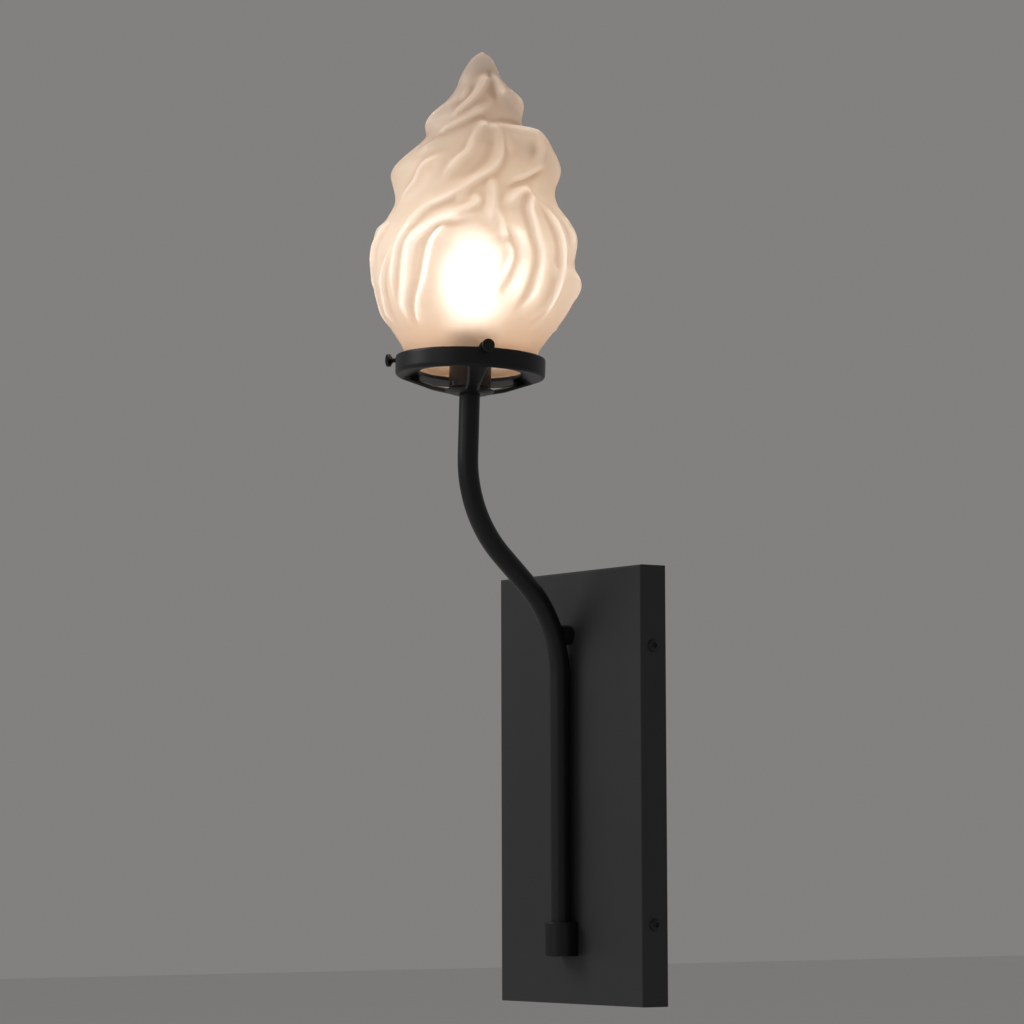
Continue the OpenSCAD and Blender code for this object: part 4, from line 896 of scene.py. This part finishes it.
def make_thumbscrew(name, finish):
    """A disc thumbscrew: a rolled thread, a cone behind the disc, and a disc with eased edges."""
    back = KNOB_REACH - KNOB_T
    thread_end = back - KNOB_CONE
    part_turn = np.arange(SCREW_STEPS) / SCREW_STEPS
    rows = []
    for h in np.arange(SHANK_START, thread_end - 0.1, PITCH / 6):
        from_crest = abs((h / PITCH - part_turn) % 1 * 2 - 1)
        rows.append((SHANK_R - THREAD_DEPTH * from_crest, h))
    rows += [
        (SHANK_R, thread_end), (SHANK_R + 0.25, thread_end + 0.25),
        (KNOB_R - KNOB_STEP, back - 0.05), (KNOB_R - 0.4, back), (KNOB_R - 0.1, back + 0.12),
        (KNOB_R, back + 0.45), (KNOB_R, KNOB_REACH - 0.5),
        (KNOB_R - 0.14, KNOB_REACH - 0.14), (KNOB_R - 0.5, KNOB_REACH),
        (KNOB_R - 1.1, KNOB_REACH - 0.02), (KNOB_R - 1.5, KNOB_REACH - 0.16),
        (0.02, KNOB_REACH - 0.2)]
    mesh = turned_mesh(name + "_thumbscrew", rows, SCREW_STEPS)
    # the disc's edge band, which the finish lightens as rubbed wear and as a painted highlight
    keep_values(mesh, "edge", [v.co.xy.length > KNOB_R - KNOB_EDGE for v in mesh.vertices])
    outward = SCREWS[name]
    axes = Matrix((HEAD_UP, outward.cross(HEAD_UP), outward)).transposed().to_4x4()
    seat = Matrix.Translation(RING_FOOT + HEAD_UP * SCREW_HEIGHT * MM)
    mesh.transform(seat @ axes @ Matrix.Scale(MM, 4))
    piece = new_object(name + "_thumbscrew", mesh, finish)
    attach(piece, "thumbscrew_" + name)
    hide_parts("thumbscrew_" + name)


# ------------------------------------------------------------------ finishes and what wears them


def dress(finish, *names):
    """Gives carried-over nodes their finish."""
    for name in names:
        node = NODES[name]
        if not node.material_slots:
            node.data.materials.append(finish)
        for slot in node.material_slots:
            slot.material = finish


# each with its darkest and lightest colour or its one colour, then its roughness and its grain
charcoal = powder_coat("satin_charcoal", (0.026, 0.026, 0.0265), (0.037, 0.037, 0.0375), 0.46)
black = powder_coat("satin_black", (0.005, 0.005, 0.0052), (0.010, 0.010, 0.0103), 0.36, 0.3)
screw_black = powder_coat("black_screw", (0.008, 0.008, 0.009), (0.014, 0.014, 0.015), 0.26, 0.2)
zinc = plated_steel("zinc_plate", (0.62, 0.63, 0.65))
nickel = plated_steel("nickel_cap", (0.66, 0.64, 0.60), 0.25)
brass = turned_brass("turned_brass")
rubber = moulded("black_rubber", (0.012, 0.012, 0.012), (0.03, 0.03, 0.03), 0.62, 1.0)
ceramic = moulded("glazed_ceramic", (0.78, 0.74, 0.66), (0.88, 0.86, 0.80), 0.22)
phenolic = moulded("brown_phenolic", (0.012, 0.008, 0.006), (0.028, 0.019, 0.013), 0.34)
nylon = moulded("white_nylon", (0.74, 0.72, 0.66), (0.86, 0.85, 0.80), 0.45)
vitrite = moulded("black_vitrite", (0.01, 0.01, 0.012), (0.03, 0.03, 0.035), 0.12)
clear = moulded(
    "clear_stem_glass", (0.9, 0.93, 0.93), (0.97, 0.99, 0.99), 0.03, transmission=1.0)
live = insulation("brown_insulation", (0.20, 0.09, 0.035))
neutral = insulation("blue_insulation", (0.05, 0.16, 0.45))
earth = insulation("striped_insulation", (0.10, 0.36, 0.05), (0.75, 0.62, 0.05))
opal = glowing("lit_opal", (1.0, 0.95, 0.90), 3.0)
strip = glowing("filament_strip", (1.0, 0.72, 0.35), 3.0)

dress(charcoal, "cover_box")
dress(black, "end_block", "standoff")
dress(zinc, "wall_bracket", "terminal_screws", "terminal_fixing_screw", "entry_washer",
      "standoff_screw", "standoff_washer", "holder_grub_screw")
dress(brass, "terminal_sleeves", "earth_screw", "earth_tag", "entry_nipple", "entry_nut",
      "hub_nipple", "holder_contacts", "holder_terminals", "holder_thread_shell")
dress(rubber, "cable_grommet")
dress(ceramic, "terminal_block", "holder_insert")
dress(phenolic, "holder_cap", "holder_skirt")
dress(nylon, "screw_tip_front", "screw_tip_left", "screw_tip_rear")
dress(nickel, "lamp_cap", "lamp_contact")
dress(vitrite, "lamp_insulator")
dress(clear, "lamp_stem")
dress(strip, "lamp_filaments")
dress(opal, "lamp_glass")
dress(live, "live_wire")
dress(neutral, "neutral_wire")
dress(earth, "earth_wire")

make_flame(flame_glass())
make_gallery(black)
make_arm(black)
make_side_screws(screw_black)
for screw_name in SCREWS:
    make_thumbscrew(screw_name, black)

# ------------------------------------------------------------------ floor, light and camera

FLOOR_HEIGHT, FLOOR_HALF = -0.42, 9.0
STUDIO_COLOUR, STUDIO_STRENGTH = (0.60, 0.59, 0.58), 0.37
LIGHT_AIM = (0, -0.08, 0.1)
CAMERA_PLACE = (1.8211, -1.3396, -0.0470)
CAMERA_AZIMUTH, CAMERA_ELEVATION, CAMERA_ROLL = 54.94, -5.53, -0.17
CAMERA_LENS, CAMERA_SENSOR = 127.64, 36


def make_stage():
    """A plain pale floor and an even studio round it."""
    f = Finish("pale_floor")
    colour = f.mix(f.noise(60, detail=2), tone((0.84, 0.83, 0.82)), tone((0.88, 0.87, 0.86)))
    finish = f.surface(Base_Color=colour, Roughness=0.7)
    corners = [(x * FLOOR_HALF, y * FLOOR_HALF, FLOOR_HEIGHT)
               for x, y in ((-1, -1), (1, -1), (1, 1), (-1, 1))]
    new_object("floor", mesh_from("floor", corners, [(0, 1, 2, 3)]), finish, False)
    world = bpy.data.worlds.new("studio")
    world.use_nodes = True
    background = world.node_tree.nodes["Background"].inputs
    background["Color"].default_value = tone(STUDIO_COLOUR)
    background["Strength"].default_value = STUDIO_STRENGTH
    bpy.context.scene.world = world


def area_light(name, place, size, power, colour):
    data = bpy.data.lights.new(name, "AREA")
    data.shape, data.size, data.energy, data.color = "DISK", size, power, colour
    lamp = bpy.data.objects.new(name, data)
    bpy.context.scene.collection.objects.link(lamp)
    lamp.location = place
    lamp.rotation_euler = (Vector(LIGHT_AIM) - Vector(place)).to_track_quat("-Z", "Y").to_euler()


def make_camera():
    data = bpy.data.cameras.new("camera")
    data.lens, data.sensor_width = CAMERA_LENS, CAMERA_SENSOR
    data.clip_start, data.clip_end = 0.05, 60
    camera = bpy.data.objects.new("camera", data)
    bpy.context.scene.collection.objects.link(camera)
    a, e = math.radians(CAMERA_AZIMUTH), math.radians(CAMERA_ELEVATION)
    back = Vector((math.sin(a) * math.cos(e), -math.cos(a) * math.cos(e), math.sin(e)))
    right = Vector((0, 0, 1)).cross(back).normalized()
    roll = Matrix.Rotation(math.radians(CAMERA_ROLL), 3, "Z")
    axes = Matrix((right, back.cross(right), back)).transposed() @ roll
    camera.matrix_world = Matrix.Translation(CAMERA_PLACE) @ axes.to_4x4()
    bpy.context.scene.camera = camera


make_stage()
area_light("key", (-1.3, -2.0, 1.5), size=1.6, power=25, colour=(1.0, 0.98, 0.96))
area_light("fill", (0.5, -3.0, 0.6), size=1.8, power=4, colour=(0.97, 0.98, 1.0))
make_camera()
bpy.context.scene.view_settings.view_transform = "Standard"
